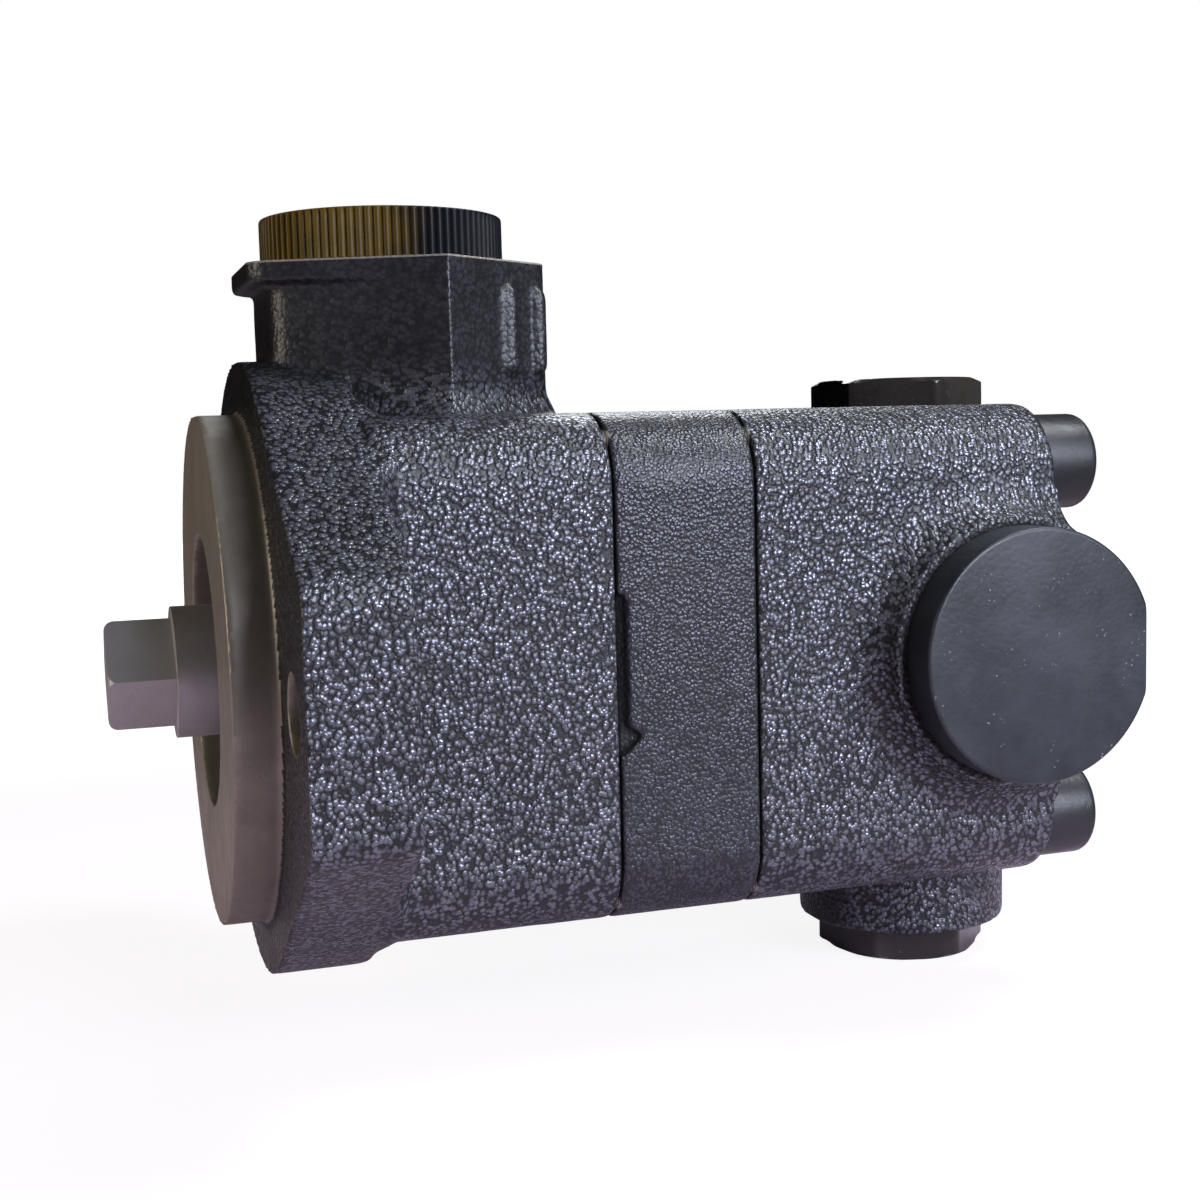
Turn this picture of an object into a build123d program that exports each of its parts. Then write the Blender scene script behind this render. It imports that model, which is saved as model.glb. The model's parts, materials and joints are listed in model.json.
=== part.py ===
from build123d import *
import math
import os

# Hydraulic vane pump with a built-in flow-control valve.
# All lengths in millimetres. X runs along the drive shaft with the drive end towards -X,
# Z points up towards the inlet port, and the origin lies on the shaft axis in the face
# of the mounting flange. Pieces stack along X: flange and body, cam ring, rear cover.

# ---- mounting flange, two-bolt, 82.55 mm pilot
pilot_dia = 82.55
pilot_height = 7.0
mount_hole_span = 106.4
mount_hole_dia = 11.1
flange_thick = 15.0
flange_round_r = 49.8
ear_land = 11.8
ear_reach = mount_hole_span / 2 + ear_land
ear_half_height = 19.9
ear_corner_r = 5.0
flange_neck = 3.0

# ---- square section shared by body, cam ring and cover
section_corner_r = 11.5
body_len = 50.8
ring_len = 23.1
cover_len = 54.1

# ---- cover screws
screw_wall = 2.1264
screw_edge = 10.0
screw_dia = 10.0
screw_clear_dia = 10.6
screw_head_dia = 16.0
screw_head_len = 10.0
screw_socket_af = 8.0
screw_socket_depth = 5.0
screw_grip = 18.0
spotface_depth = 1.0
spotface_gap = 0.6

# ---- inlet port boss on top of the body
inlet_x = 24.8
inlet_boss_top = 64.6
inlet_boss_front_x = 4.5
inlet_boss_ridge_x = 30.0
inlet_boss_back_x = 49.5
inlet_boss_half_flat = 12.0
inlet_boss_half_width = 25.5
inlet_boss_corner_r = 5.0
inlet_lip_reach = 3.4
inlet_lip_side = 0.9
inlet_lip_height = 3.4
inlet_base_flare = 3.5
inlet_base_slope = 25.0
inlet_rib_len = 12.0
inlet_rib_r = 1.5
inlet_rib_gap = 4.1
inlet_rib_drop = 2.2
inlet_thread_dia = 31.2
inlet_thread_len = 16.0
inlet_counterbore_dia = 34.6
inlet_counterbore_depth = 4.5

# ---- outlet port boss on the near side of the cover
outlet_x = 117.2
outlet_boss_r = 22.0
outlet_boss_height = 5.0
outlet_boss_flare = 6.0
outlet_thread_dia = 20.6
outlet_thread_len = 14.0
outlet_counterbore_dia = 25.0
outlet_counterbore_depth = 4.5
outlet_drill_dia = 12.0

# ---- protective port caps
cap_gap = 0.1
inlet_cap_dia = 39.7
inlet_cap_height = 7.8
inlet_cap_teeth = 86
inlet_cap_tooth_depth = 0.5
inlet_cap_grip = 3.0
inlet_cap_grip_sink = 0.3
outlet_cap_dia = 40.8
outlet_cap_height = 7.0
outlet_cap_flat = 18.9
cap_spigot_len = 4.0
cap_wall = 1.8
cap_recess_depth = 3.2

# ---- drive shaft
shaft_dia = 22.0
shaft_front_dia = 21.4
shaft_seat_lead = 1.0
shaft_reach = 22.6
tang_len = 10.5
tang_across_flats = 12.5
tang_corner_r = 8.85
shaft_collar_dia = 24.0
shaft_journal_dia = 16.0
spline_teeth = 10
spline_major_dia = 22.0
spline_minor_dia = 19.6

# ---- ball bearing in the front bore
bearing_outer_dia = 44.0
bearing_width = 12.0
bearing_front_x = -0.5
bearing_land = 3.2
ball_dia = 6.6
ball_count = 11
cage_thick = 1.4
cage_width = 8.6
bore_ring_thick = 1.75
bore_ring_depth = 2.0
shaft_ring_thick = 1.2
shaft_ring_depth = 1.2
ring_end_gap = 8.0

# ---- shaft seal and shaft tunnel
seal_outer_dia = 38.0
seal_width = 7.0
seal_lip_width = 2.0
tunnel_dia = 27.0
tunnel_wall_r = 19.0

# ---- inlet gallery and kidney ports
gallery_r = 31.0
gallery_front_x = 23.5
gallery_len = 17.0
kidney_inner_r = 20.5
kidney_outer_r = 26.0
kidney_half_angle = 28.0
suction_angle = 45.0
discharge_angle = 135.0

# ---- rotating group
rotor_dia = 47.0
cam_clearance = 0.2
cam_lift = 2.7
vane_count = 10
vane_thick = 1.8
vane_height = 8.5
vane_tip_gap = 0.1
vane_side_gap = 0.03
vane_first_angle = 18.0
under_vane_hole_dia = 3.4
side_gap = 0.05
cam_points = 48

# ---- arrow notch in the near face of the cam ring
arrow_length = 25.0
arrow_width = 1.3
arrow_head = 3.2
arrow_depth = 1.5

# ---- joint seals, dowels, pressure plate
joint_seal_wall = 2.1
joint_seal_dia = 2.2
dowel_dia = 4.0
dowel_wall = 2.3
dowel_front_len = 6.0
dowel_back_len = 5.0
plate_rim = 1.0
plate_thick = 10.0
plate_seal_dia = 2.4
plate_seal_back = 2.2
plate_spring_outer_dia = 50.0
plate_spring_inner_dia = 32.0
plate_spring_thick = 1.2
plate_spring_cone = 3.4
chamber_depth = 16.0

# ---- rear bushing
bushing_outer_dia = 20.0
bushing_len = 13.0
journal_gap = 0.04
bushing_hub_dia = 28.0

# ---- flow-control valve, upright in the cover
valve_x = 119.5
valve_boss_r = 18.9
valve_boss_bottom = 54.0
valve_bore_dia = 19.0
valve_gap = 0.03
plug_across_flats = 27.0
plug_head_len = 6.2
plug_head_sink = 1.0
plug_chamfer = 1.0
plug_thread_dia = 24.0
plug_thread_len = 12.0
plug_end_room = 0.5
plug_pocket_len = 6.0
plug_seal_dia = 2.4
spool_len = 60.0
spool_lower_land = 22.0
spool_upper_land = 13.0
spool_seat_gap = 0.05
spool_waist_dia = 13.0
spool_travel = 7.0
spool_cup_dia = 13.6
spool_cup_depth = 12.0
spring_wire = 1.8
spring_outer_dia = 13.0
spring_turns = 5.0
spring_side_gap = 0.4
relief_ball_dia = 5.0
relief_bore_dia = 7.0
relief_seat_dia = 3.2
relief_spring_wire = 0.8
relief_spring_turns = 4.0
relief_lift = 1.0
relief_screw_len = 24.0
passage_dia = 8.0
passage_drop = 12.0

# ---- worked-out radii, from the rotor outwards to the square section
cam_min_r = rotor_dia / 2 + cam_clearance
dowel_r = cam_min_r + dowel_wall + dowel_dia / 2
plate_dia = 2 * (dowel_r + dowel_dia / 2 + plate_rim)
joint_seal_r = plate_dia / 2 + joint_seal_wall + joint_seal_dia / 2
screw_offset = (joint_seal_r + joint_seal_dia / 2 + screw_wall + screw_dia / 2) / math.sqrt(2)
section_half = screw_offset + screw_edge

# ---- worked-out places along X
ring_x = body_len
cover_x = body_len + ring_len
cover_end_x = cover_x + cover_len
chamber_x = cover_x + chamber_depth
bearing_back_x = bearing_front_x + bearing_width
seal_back_x = bearing_back_x + seal_width + 1.0
fit_gap = 0.02


# ---------------------------------------------------------------- shared shapes

def rod(x0, x1, dia):
    """Solid cylinder on the shaft axis from x0 to x1."""
    return Pos((x0 + x1) / 2, 0, 0) * Rot(0, 90, 0) * Cylinder(dia / 2, abs(x1 - x0))


def post(x, z0, z1, dia, y=0.0):
    """Solid upright cylinder from z0 to z1."""
    return Pos(x, y, (z0 + z1) / 2) * Cylinder(dia / 2, abs(z1 - z0))


def bar_y(x, y0, y1, dia, z=0.0):
    """Solid cylinder along Y from y0 to y1."""
    return Pos(x, (y0 + y1) / 2, z) * Rot(90, 0, 0) * Cylinder(dia / 2, abs(y1 - y0))


def slab(outline, x0, x1, taper=0.0):
    """Outline drawn in the YZ plane, extruded along X from x0 to x1."""
    return extrude(Plane.YZ.offset(x0) * outline, x1 - x0, taper=taper)


def section(grow=0.0):
    """Rounded-square outline of the pump's housing."""
    side = 2 * (section_half + grow)
    return RectangleRounded(side, side, section_corner_r + grow)


def polar(radius, angle):
    """Point in the YZ plane at an angle turned from +Y towards +Z."""
    turn = math.radians(angle)
    return radius * math.cos(turn), radius * math.sin(turn)


def turned(shape, angle):
    """Shape turned about the shaft axis."""
    return Rot(angle, 0, 0) * shape


def screw_places():
    """The four cover-screw centres in the YZ plane."""
    return [(y, z) for y in (-screw_offset, screw_offset) for z in (-screw_offset, screw_offset)]


def ring_about_x(x, ring_r, wire_dia):
    """Round-section ring about the shaft axis."""
    return Pos(x, 0, 0) * Rot(0, 90, 0) * Torus(ring_r, wire_dia / 2)


def square_ring(x, ring_r, side):
    """Square-cut seal ring about the shaft axis."""
    outer = rod(x - side / 2, x + side / 2, 2 * ring_r + side)
    return outer - rod(x - side, x + side, 2 * ring_r - side)


def kidney(angle, x0, x1):
    """Kidney-shaped port slot with rounded ends."""
    mid_r = (kidney_inner_r + kidney_outer_r) / 2
    half = kidney_half_angle
    arc = CenterArc((0, 0), mid_r, angle - half, 2 * half)
    return slab(SlotArc(arc, kidney_outer_r - kidney_inner_r), x0, x1)


def hex_head(length, across_flats, chamfer_len):
    """Hexagon head standing on Z = 0, outer edge turned down at the top."""
    corner_r = across_flats / math.sqrt(3)
    head = extrude(RegularPolygon(corner_r, 6), length)
    turned_blank = Pos(0, 0, length / 2) * Cylinder(corner_r + 0.1, length)
    rim = turned_blank.edges().filter_by(GeomType.CIRCLE).sort_by(Axis.Z)[-1]
    blank = chamfer(rim, chamfer_len)
    return head & blank


def split_ring(x0, thick, inner_r, outer_r):
    """Snap ring: a flat ring with a gap at its top."""
    ring = rod(x0, x0 + thick, 2 * outer_r) - rod(x0 - 1, x0 + thick + 1, 2 * inner_r)
    return ring - Pos(x0, 0, outer_r) * Box(4 * thick, ring_end_gap, 2 * outer_r)


def coil(wire, mean_r, turns, height):
    """Helical spring about Z standing on Z = 0, wire centre to wire centre in height."""
    path = Helix(height / turns, height, mean_r)
    profile = Plane(path @ 0, z_dir=path % 0) * Circle(wire / 2)
    return sweep(profile, path=path, is_frenet=True)


# ---------------------------------------------------------------- front body

def flange_outline():
    """Round flange drawn out into two ears."""
    corners = Sketch() + [
        Pos(y, z) * Circle(ear_corner_r)
        for y in (-ear_reach + ear_corner_r, ear_reach - ear_corner_r)
        for z in (-ear_half_height + ear_corner_r, ear_half_height - ear_corner_r)
    ]
    return make_hull((corners + Circle(flange_round_r)).edges())


def boss_outline(front_x, side=0.0):
    """Six-sided inlet boss outline with a crisp ridge on each flank.

    The front end can be moved and widened by side, which makes the lip.
    """
    flat = inlet_boss_half_flat
    wide = inlet_boss_half_width
    points = [
        (front_x, flat + side), (front_x, -flat - side), (inlet_boss_ridge_x, -wide),
        (inlet_boss_back_x, -flat), (inlet_boss_back_x, flat), (inlet_boss_ridge_x, wide),
    ]
    outline = make_face(Polyline(*points, close=True))
    ends = [v for v in outline.vertices() if abs(v.Y) < flat + side + 0.01]
    return fillet(ends, inlet_boss_corner_r)


def boss_rib(along):
    """Cast rib on the rear near flank of the inlet boss, a way along it from the ridge."""
    run = inlet_boss_back_x - inlet_boss_ridge_x
    rise = inlet_boss_half_width - inlet_boss_half_flat
    length = math.hypot(run, rise)
    x = inlet_boss_ridge_x + along * run / length
    y = -inlet_boss_half_width + along * rise / length
    top_z = inlet_boss_top - inlet_lip_height - inlet_rib_drop
    low_z = top_z - inlet_rib_len
    rib = post(x, low_z, top_z, 2 * inlet_rib_r, y)
    return rib + Pos(x, y, top_z) * Sphere(inlet_rib_r)


def inlet_boss():
    """Inlet boss with its overhanging lip, base flare and two cast ribs."""
    lip_z = inlet_boss_top - inlet_lip_height
    start_z = flange_round_r * 0.5
    boss = extrude(Pos(0, 0, start_z) * boss_outline(inlet_boss_front_x), inlet_boss_top - start_z)
    lip_outline = boss_outline(inlet_boss_front_x - inlet_lip_reach, inlet_lip_side)
    boss += extrude(Pos(0, 0, lip_z) * lip_outline, inlet_lip_height)
    flare_z = section_half + inlet_base_flare
    flare_top = Pos(0, 0, flare_z) * boss_outline(inlet_boss_front_x)
    flare = extrude(flare_top, -inlet_base_flare, taper=-inlet_base_slope)
    keep = Pos((flange_thick + body_len) / 2, 0, section_half)
    keep *= Box(body_len - flange_thick, 2 * section_half, 4 * inlet_base_flare)
    boss += flare & keep
    flank = math.hypot(inlet_boss_back_x - inlet_boss_ridge_x, inlet_boss_half_width - inlet_boss_half_flat)
    last = flank - inlet_boss_corner_r / 2
    for along in (last - inlet_rib_gap - 2 * inlet_rib_r, last):
        boss += boss_rib(along)
    return boss


def front_body():
    """Mounting flange, bearing housing, inlet boss and inlet gallery in one casting."""
    body = slab(flange_outline(), 0, flange_thick)
    body += rod(-pilot_height, 0, pilot_dia)
    body += slab(section(), flange_thick, body_len)
    neck = slab(section(flange_neck), flange_thick, flange_thick + flange_neck, taper=45)
    body += neck & slab(flange_outline(), 0, body_len)
    body += inlet_boss()
    for side in (-1, 1):
        body -= Pos(0, side * mount_hole_span / 2, 0) * rod(-1, flange_thick + 1, mount_hole_dia)
    # bearing seat, snap-ring groove, seal bore and shaft tunnel
    body -= rod(-pilot_height - 1, bearing_back_x, bearing_outer_dia)
    groove_x = bearing_front_x - bore_ring_thick - fit_gap
    groove_dia = bearing_outer_dia + 2 * (bore_ring_depth + fit_gap)
    body -= rod(groove_x - fit_gap, bearing_front_x, groove_dia)
    body -= rod(bearing_back_x - 1, seal_back_x, seal_outer_dia)
    body -= rod(seal_back_x - 1, body_len + 1, tunnel_dia)
    # inlet port, gallery round the tunnel, and suction kidneys
    thread_z = inlet_boss_top - inlet_counterbore_depth
    core_z = thread_z - inlet_thread_len
    body -= post(inlet_x, thread_z, inlet_boss_top + 1, inlet_counterbore_dia)
    body -= post(inlet_x, core_z, thread_z + 1, inlet_thread_dia)
    core_dia = inlet_thread_dia - 4.0
    body -= post(inlet_x, gallery_r - 4.0, core_z + 1, core_dia)
    gallery = rod(gallery_front_x, gallery_front_x + gallery_len, 2 * gallery_r)
    gallery -= rod(gallery_front_x - 1, body_len, 2 * tunnel_wall_r)
    body -= gallery
    for turn in (0, 180):
        body -= kidney(suction_angle + turn, gallery_front_x + gallery_len - 1, body_len + 1)
    # tapped holes, dowel holes and seal groove in the joint face
    for y, z in screw_places():
        body -= Pos(0, y, z) * rod(body_len - screw_grip - 2, body_len + 1, screw_dia + 2 * fit_gap)
    for side in (-1, 1):
        dowel_hole = rod(body_len - dowel_front_len, body_len + 1, dowel_dia + 2 * fit_gap)
        body -= Pos(0, side * dowel_r, 0) * dowel_hole
    body -= seal_groove(body_len, -1)
    return body


def seal_groove(face_x, way):
    """Face groove for a joint seal, cut into the piece that lies on the given side."""
    depth = joint_seal_dia
    half = joint_seal_dia / 2 + 0.15
    x0, x1 = (face_x - depth, face_x + 1) if way < 0 else (face_x - 1, face_x + depth)
    return rod(x0, x1, 2 * (joint_seal_r + half)) - rod(x0 - 1, x1 + 1, 2 * (joint_seal_r - half))


# ---------------------------------------------------------------- cam ring

def cam_radius(angle):
    """Radius of the two-lobed cam track at an angle from +Y."""
    return cam_min_r + cam_lift * (1 - math.cos(math.radians(2 * angle))) / 2


def cam_outline():
    """Closed smooth outline of the cam track."""
    points = [polar(cam_radius(360 * i / cam_points), 360 * i / cam_points) for i in range(cam_points)]
    return make_face(Spline(*points, periodic=True))


def cam_ring():
    """Square-sided cam ring with the arrow notch that shows the way of turning."""
    ring = slab(section(), ring_x, cover_x)
    ring -= slab(cam_outline(), ring_x - 1, cover_x + 1)
    for y, z in screw_places():
        ring -= Pos(0, y, z) * rod(ring_x - 1, cover_x + 1, screw_clear_dia)
    for side in (-1, 1):
        ring -= Pos(0, side * dowel_r, 0) * rod(ring_x - 1, cover_x + 1, dowel_dia + 2 * fit_gap)
    top_z = arrow_length / 2
    barb_z = -arrow_length / 2 + arrow_head
    outline = Polyline(
        (ring_x - 1, top_z), (ring_x + arrow_width, top_z), (ring_x + arrow_width, barb_z + arrow_width),
        (ring_x + arrow_head + arrow_width / 2, barb_z), (ring_x + arrow_width / 2, -top_z),
        (ring_x - 1, -top_z + arrow_width), close=True,
    )
    face_y = -section_half
    notch = extrude(Plane.XZ.offset(-face_y + 1) * make_face(outline), -(arrow_depth + 1))
    return ring - notch


# ---------------------------------------------------------------- rear cover

def outlet_flare():
    """Concave cast sweep from the cover's side up to the outlet boss."""
    foot_r = outlet_boss_r + outlet_boss_flare
    height = outlet_boss_height - 0.5
    sweep_line = Polyline((outlet_boss_r, height), (0, height), (0, 0), (foot_r, 0))
    sweep_line += RadiusArc((foot_r, 0), (outlet_boss_r, height), outlet_boss_flare + 1)
    profile = make_face(sweep_line.edges())
    swept = revolve(Plane.XZ * profile, Axis.Z)
    return Pos(outlet_x, -section_half, 0) * Rot(90, 0, 0) * swept


def rear_cover():
    """Pressure chamber, outlet port and upright flow-control bore in one casting."""
    cover = slab(section(), cover_x, cover_end_x)
    rear = cover.edges().filter_by(Plane.YZ).group_by(Axis.X)[-1]
    cover = fillet(rear, 2.0)
    cover += post(valve_x, -valve_boss_bottom, section_half, 2 * valve_boss_r)
    boss_y = -section_half - outlet_boss_height
    cover += bar_y(outlet_x, boss_y, 0, 2 * outlet_boss_r)
    reach = Pos(cover_end_x - cover_len / 2, 0, 0) * Box(cover_len, 4 * section_half, 4 * section_half)
    cover += outlet_flare() & reach
    # pressure chamber with its bushing hub
    cover -= rod(cover_x - 1, chamber_x, plate_dia + 2 * fit_gap)
    bush_front = chamber_x - 4.0
    cover += rod(bush_front, chamber_x + 1, bushing_hub_dia)
    cover -= rod(bush_front - 1, bush_front + bushing_len, bushing_outer_dia + 2 * fit_gap)
    # valve bore, plug threads and spotfaces
    cover -= post(valve_x, -valve_boss_bottom - 1, section_half + 1, valve_bore_dia)
    top_seat = section_half - plug_head_sink
    for seat, into in ((top_seat, -1), (-valve_boss_bottom, 1)):
        thread_end = seat + into * (plug_thread_len + plug_end_room)
        cover -= post(valve_x, seat - into, thread_end, plug_thread_dia + 2 * fit_gap)
    cover -= post(valve_x, top_seat, section_half + 1, 2 * plug_across_flats / math.sqrt(3) + 1)
    # passages: chamber to valve bore, and valve bore to outlet
    cover -= Pos(0, 0, -passage_drop) * rod(chamber_x - 1, valve_x, passage_dia)
    cover -= bar_y(outlet_x, boss_y - 1, boss_y + outlet_counterbore_depth, outlet_counterbore_dia)
    thread_y = boss_y + outlet_counterbore_depth
    cover -= bar_y(outlet_x, boss_y, thread_y + outlet_thread_len, outlet_thread_dia)
    cover -= bar_y(outlet_x, boss_y, -valve_bore_dia / 4, outlet_drill_dia)
    # screw holes and spotfaces
    for y, z in screw_places():
        cover -= Pos(0, y, z) * rod(cover_x - 1, cover_end_x + 1, screw_clear_dia)
        spot_dia = screw_head_dia + 2 * spotface_gap
        cover -= Pos(0, y, z) * rod(cover_end_x - spotface_depth, cover_end_x + screw_head_len, spot_dia)
    cover -= seal_groove(cover_x, 1)
    return cover


# ---------------------------------------------------------------- static small pieces

def cover_screws():
    """Four socket-head screws that clamp cover, ring and body."""
    head_x = cover_end_x - spotface_depth
    screws = []
    for y, z in screw_places():
        screw = rod(body_len - screw_grip, head_x + 1, screw_dia)
        screw += rod(head_x, head_x + screw_head_len, screw_head_dia)
        rim = screw.edges().filter_by(GeomType.CIRCLE).sort_by(Axis.X)[-1]
        screw = fillet(rim, 0.8)
        socket = slab(RegularPolygon(screw_socket_af / math.sqrt(3), 6), 0, screw_socket_depth + 1)
        screw -= Pos(head_x + screw_head_len - screw_socket_depth, 0, 0) * socket
        screws.append(Pos(0, y, z) * screw)
    return screws


def dowel_pins():
    """Two dowels through the ring into body and pressure plate."""
    pins = []
    for side in (-1, 1):
        pin = rod(body_len - dowel_front_len, cover_x + dowel_back_len, dowel_dia)
        pins.append(Pos(0, side * dowel_r, 0) * pin)
    return pins


def joint_seals():
    """Face seals in front of and behind the cam ring."""
    half = joint_seal_dia / 2
    front = square_ring(body_len - half, joint_seal_r, joint_seal_dia)
    back = square_ring(cover_x + half, joint_seal_r, joint_seal_dia)
    return [front, back]


def pressure_plate():
    """Floating plate that closes the rear of the cam ring."""
    plate = rod(cover_x, cover_x + plate_thick, plate_dia)
    plate -= rod(cover_x - 1, cover_x + plate_thick + 1, spline_minor_dia)
    for turn in (0, 180):
        plate -= kidney(discharge_angle + turn, cover_x - 1, cover_x + plate_thick + 1)
        plate -= kidney(suction_angle + turn, cover_x - 1, cover_x + plate_thick * 0.3)
    for side in (-1, 1):
        dowel_hole = rod(cover_x - 1, cover_x + dowel_back_len + side_gap, dowel_dia + 2 * fit_gap)
        plate -= Pos(0, side * dowel_r, 0) * dowel_hole
    groove_back = cover_x + plate_thick - plate_seal_back
    groove_front = groove_back - plate_seal_dia - 0.2
    groove = rod(groove_front, groove_back, plate_dia + 2)
    groove -= rod(groove_front - 1, groove_back + 1, plate_dia - 2 * plate_seal_dia)
    return plate - groove


def plate_seal():
    """Seal ring in the rim of the pressure plate."""
    x = cover_x + plate_thick - plate_seal_back - (plate_seal_dia + 0.2) / 2
    return square_ring(x, plate_dia / 2 - plate_seal_dia / 2, plate_seal_dia)


def plate_spring():
    """Dished spring washer that pushes the pressure plate against the cam ring."""
    start_x = cover_x + plate_thick + fit_gap
    inner_r = plate_spring_inner_dia / 2
    outer_r = plate_spring_outer_dia / 2
    outline = Polyline(
        (start_x, inner_r), (start_x + plate_spring_thick, inner_r),
        (start_x + plate_spring_thick + plate_spring_cone, outer_r), (start_x + plate_spring_cone, outer_r),
        close=True,
    )
    return revolve(Plane.XY * make_face(outline), Axis.X)


def rear_bushing():
    """Plain bushing for the rear journal."""
    x0 = chamber_x - 4.0
    inner = shaft_journal_dia + 2 * journal_gap
    return rod(x0, x0 + bushing_len, bushing_outer_dia) - rod(x0 - 1, x0 + bushing_len + 1, inner)


def shaft_seal():
    """Lip seal behind the bearing."""
    x0 = seal_back_x - seal_width
    seal = rod(x0, seal_back_x, seal_outer_dia)
    seal -= rod(x0 - 1, seal_back_x + 1, shaft_collar_dia + 6)
    lip = rod(x0 + seal_lip_width, x0 + 2 * seal_lip_width, shaft_collar_dia + 7)
    lip -= rod(x0, seal_back_x, shaft_collar_dia + 2 * journal_gap)
    return seal + lip


def bore_snap_ring():
    """Internal snap ring that holds the bearing in the body."""
    outer_r = bearing_outer_dia / 2 + bore_ring_depth
    inner_r = bearing_outer_dia / 2 - bore_ring_depth
    return split_ring(bearing_front_x - bore_ring_thick - fit_gap, bore_ring_thick, inner_r, outer_r)


def valve_plug(top):
    """Hexagon-head plug that closes one end of the valve bore."""
    plug = hex_head(plug_head_len, plug_across_flats, plug_chamfer)
    turn = 0.0 if top else -14.0
    plug = Rot(0, 0, 30 + turn) * plug
    shank = Pos(0, 0, -plug_thread_len / 2) * Cylinder(plug_thread_dia / 2, plug_thread_len)
    plug += shank
    plug -= Pos(0, 0, -plug_seal_dia / 2) * plug_seal_ring(plug_thread_dia)
    pocket_z = -plug_thread_len + plug_pocket_len / 2
    plug -= Pos(0, 0, pocket_z) * Cylinder(spring_outer_dia / 2 + spring_side_gap, plug_pocket_len)
    if top:
        return Pos(valve_x, 0, section_half - plug_head_sink) * plug
    return Pos(valve_x, 0, -valve_boss_bottom) * Rot(180, 0, 0) * plug


def plug_seal_ring(outer_dia):
    """Square-cut ring that fills the groove under a plug's head."""
    ring = Cylinder(outer_dia / 2, plug_seal_dia)
    return ring - Cylinder(plug_thread_dia / 2 - plug_seal_dia / 2, 2 * plug_seal_dia)


def valve_plug_seals():
    """Seal rings under the heads of both valve plugs."""
    ring = plug_seal_ring(plug_thread_dia)
    upper = Pos(valve_x, 0, section_half - plug_head_sink - plug_seal_dia / 2) * ring
    lower = Pos(valve_x, 0, -valve_boss_bottom + plug_seal_dia / 2) * ring
    return [upper, lower]


# ---------------------------------------------------------------- port caps

def inlet_cap():
    """Knurled plastic cap that keeps dirt out of the inlet port."""
    tip_r = inlet_cap_dia / 2
    root_r = tip_r - inlet_cap_tooth_depth
    step = 180 / inlet_cap_teeth
    rim = [polar(tip_r if i % 2 else root_r, i * step) for i in range(2 * inlet_cap_teeth)]
    base_z = inlet_boss_top + cap_gap
    cap = extrude(Pos(0, 0, base_z) * make_face(Polyline(*rim, close=True)), inlet_cap_height)
    spigot_dia = inlet_counterbore_dia - 4 * cap_gap
    cap += Pos(0, 0, base_z - cap_spigot_len / 2) * Cylinder(spigot_dia / 2, cap_spigot_len)
    hollow = spigot_dia / 2 - cap_wall
    cap -= Pos(0, 0, base_z - 1) * Cylinder(hollow, 2 * cap_spigot_len + 2)
    top_z = base_z + inlet_cap_height
    web = top_z - cap_wall - cap_recess_depth
    recess_r = root_r - cap_wall
    cap -= Pos(0, 0, top_z - cap_recess_depth / 2 + 0.5) * Cylinder(recess_r, cap_recess_depth + 1)
    grip_height = cap_recess_depth + cap_wall
    grip = Box(2 * recess_r + 1, inlet_cap_grip, grip_height - 2 * inlet_cap_grip_sink)
    cap += Pos(0, 0, web + grip_height / 2) * grip
    return Pos(inlet_x, 0, 0) * cap


def outlet_cap():
    """Smooth round plastic cap with one flat, in the outlet port."""
    face_y = -section_half - outlet_boss_height - cap_gap
    radius = outlet_cap_dia / 2
    disc = Cylinder(radius, outlet_cap_height, align=(Align.CENTER, Align.CENTER, Align.MIN))
    outer = disc.edges().filter_by(GeomType.CIRCLE).sort_by(Axis.Z)[-1]
    disc = fillet(outer, 0.7)
    disc -= Pos(outlet_cap_flat + radius, 0, 0) * Box(2 * radius, 3 * radius, 4 * outlet_cap_height)
    spigot_r = outlet_counterbore_dia / 2 - 2 * cap_gap
    spigot = Cylinder(spigot_r, cap_spigot_len, align=(Align.CENTER, Align.CENTER, Align.MAX))
    cap = disc + spigot
    cap -= Cylinder(spigot_r - cap_wall, 2 * cap_spigot_len + 2)
    return Pos(outlet_x, face_y, 0) * Rot(90, 0, 0) * cap


# ---------------------------------------------------------------- rotating group

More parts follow.
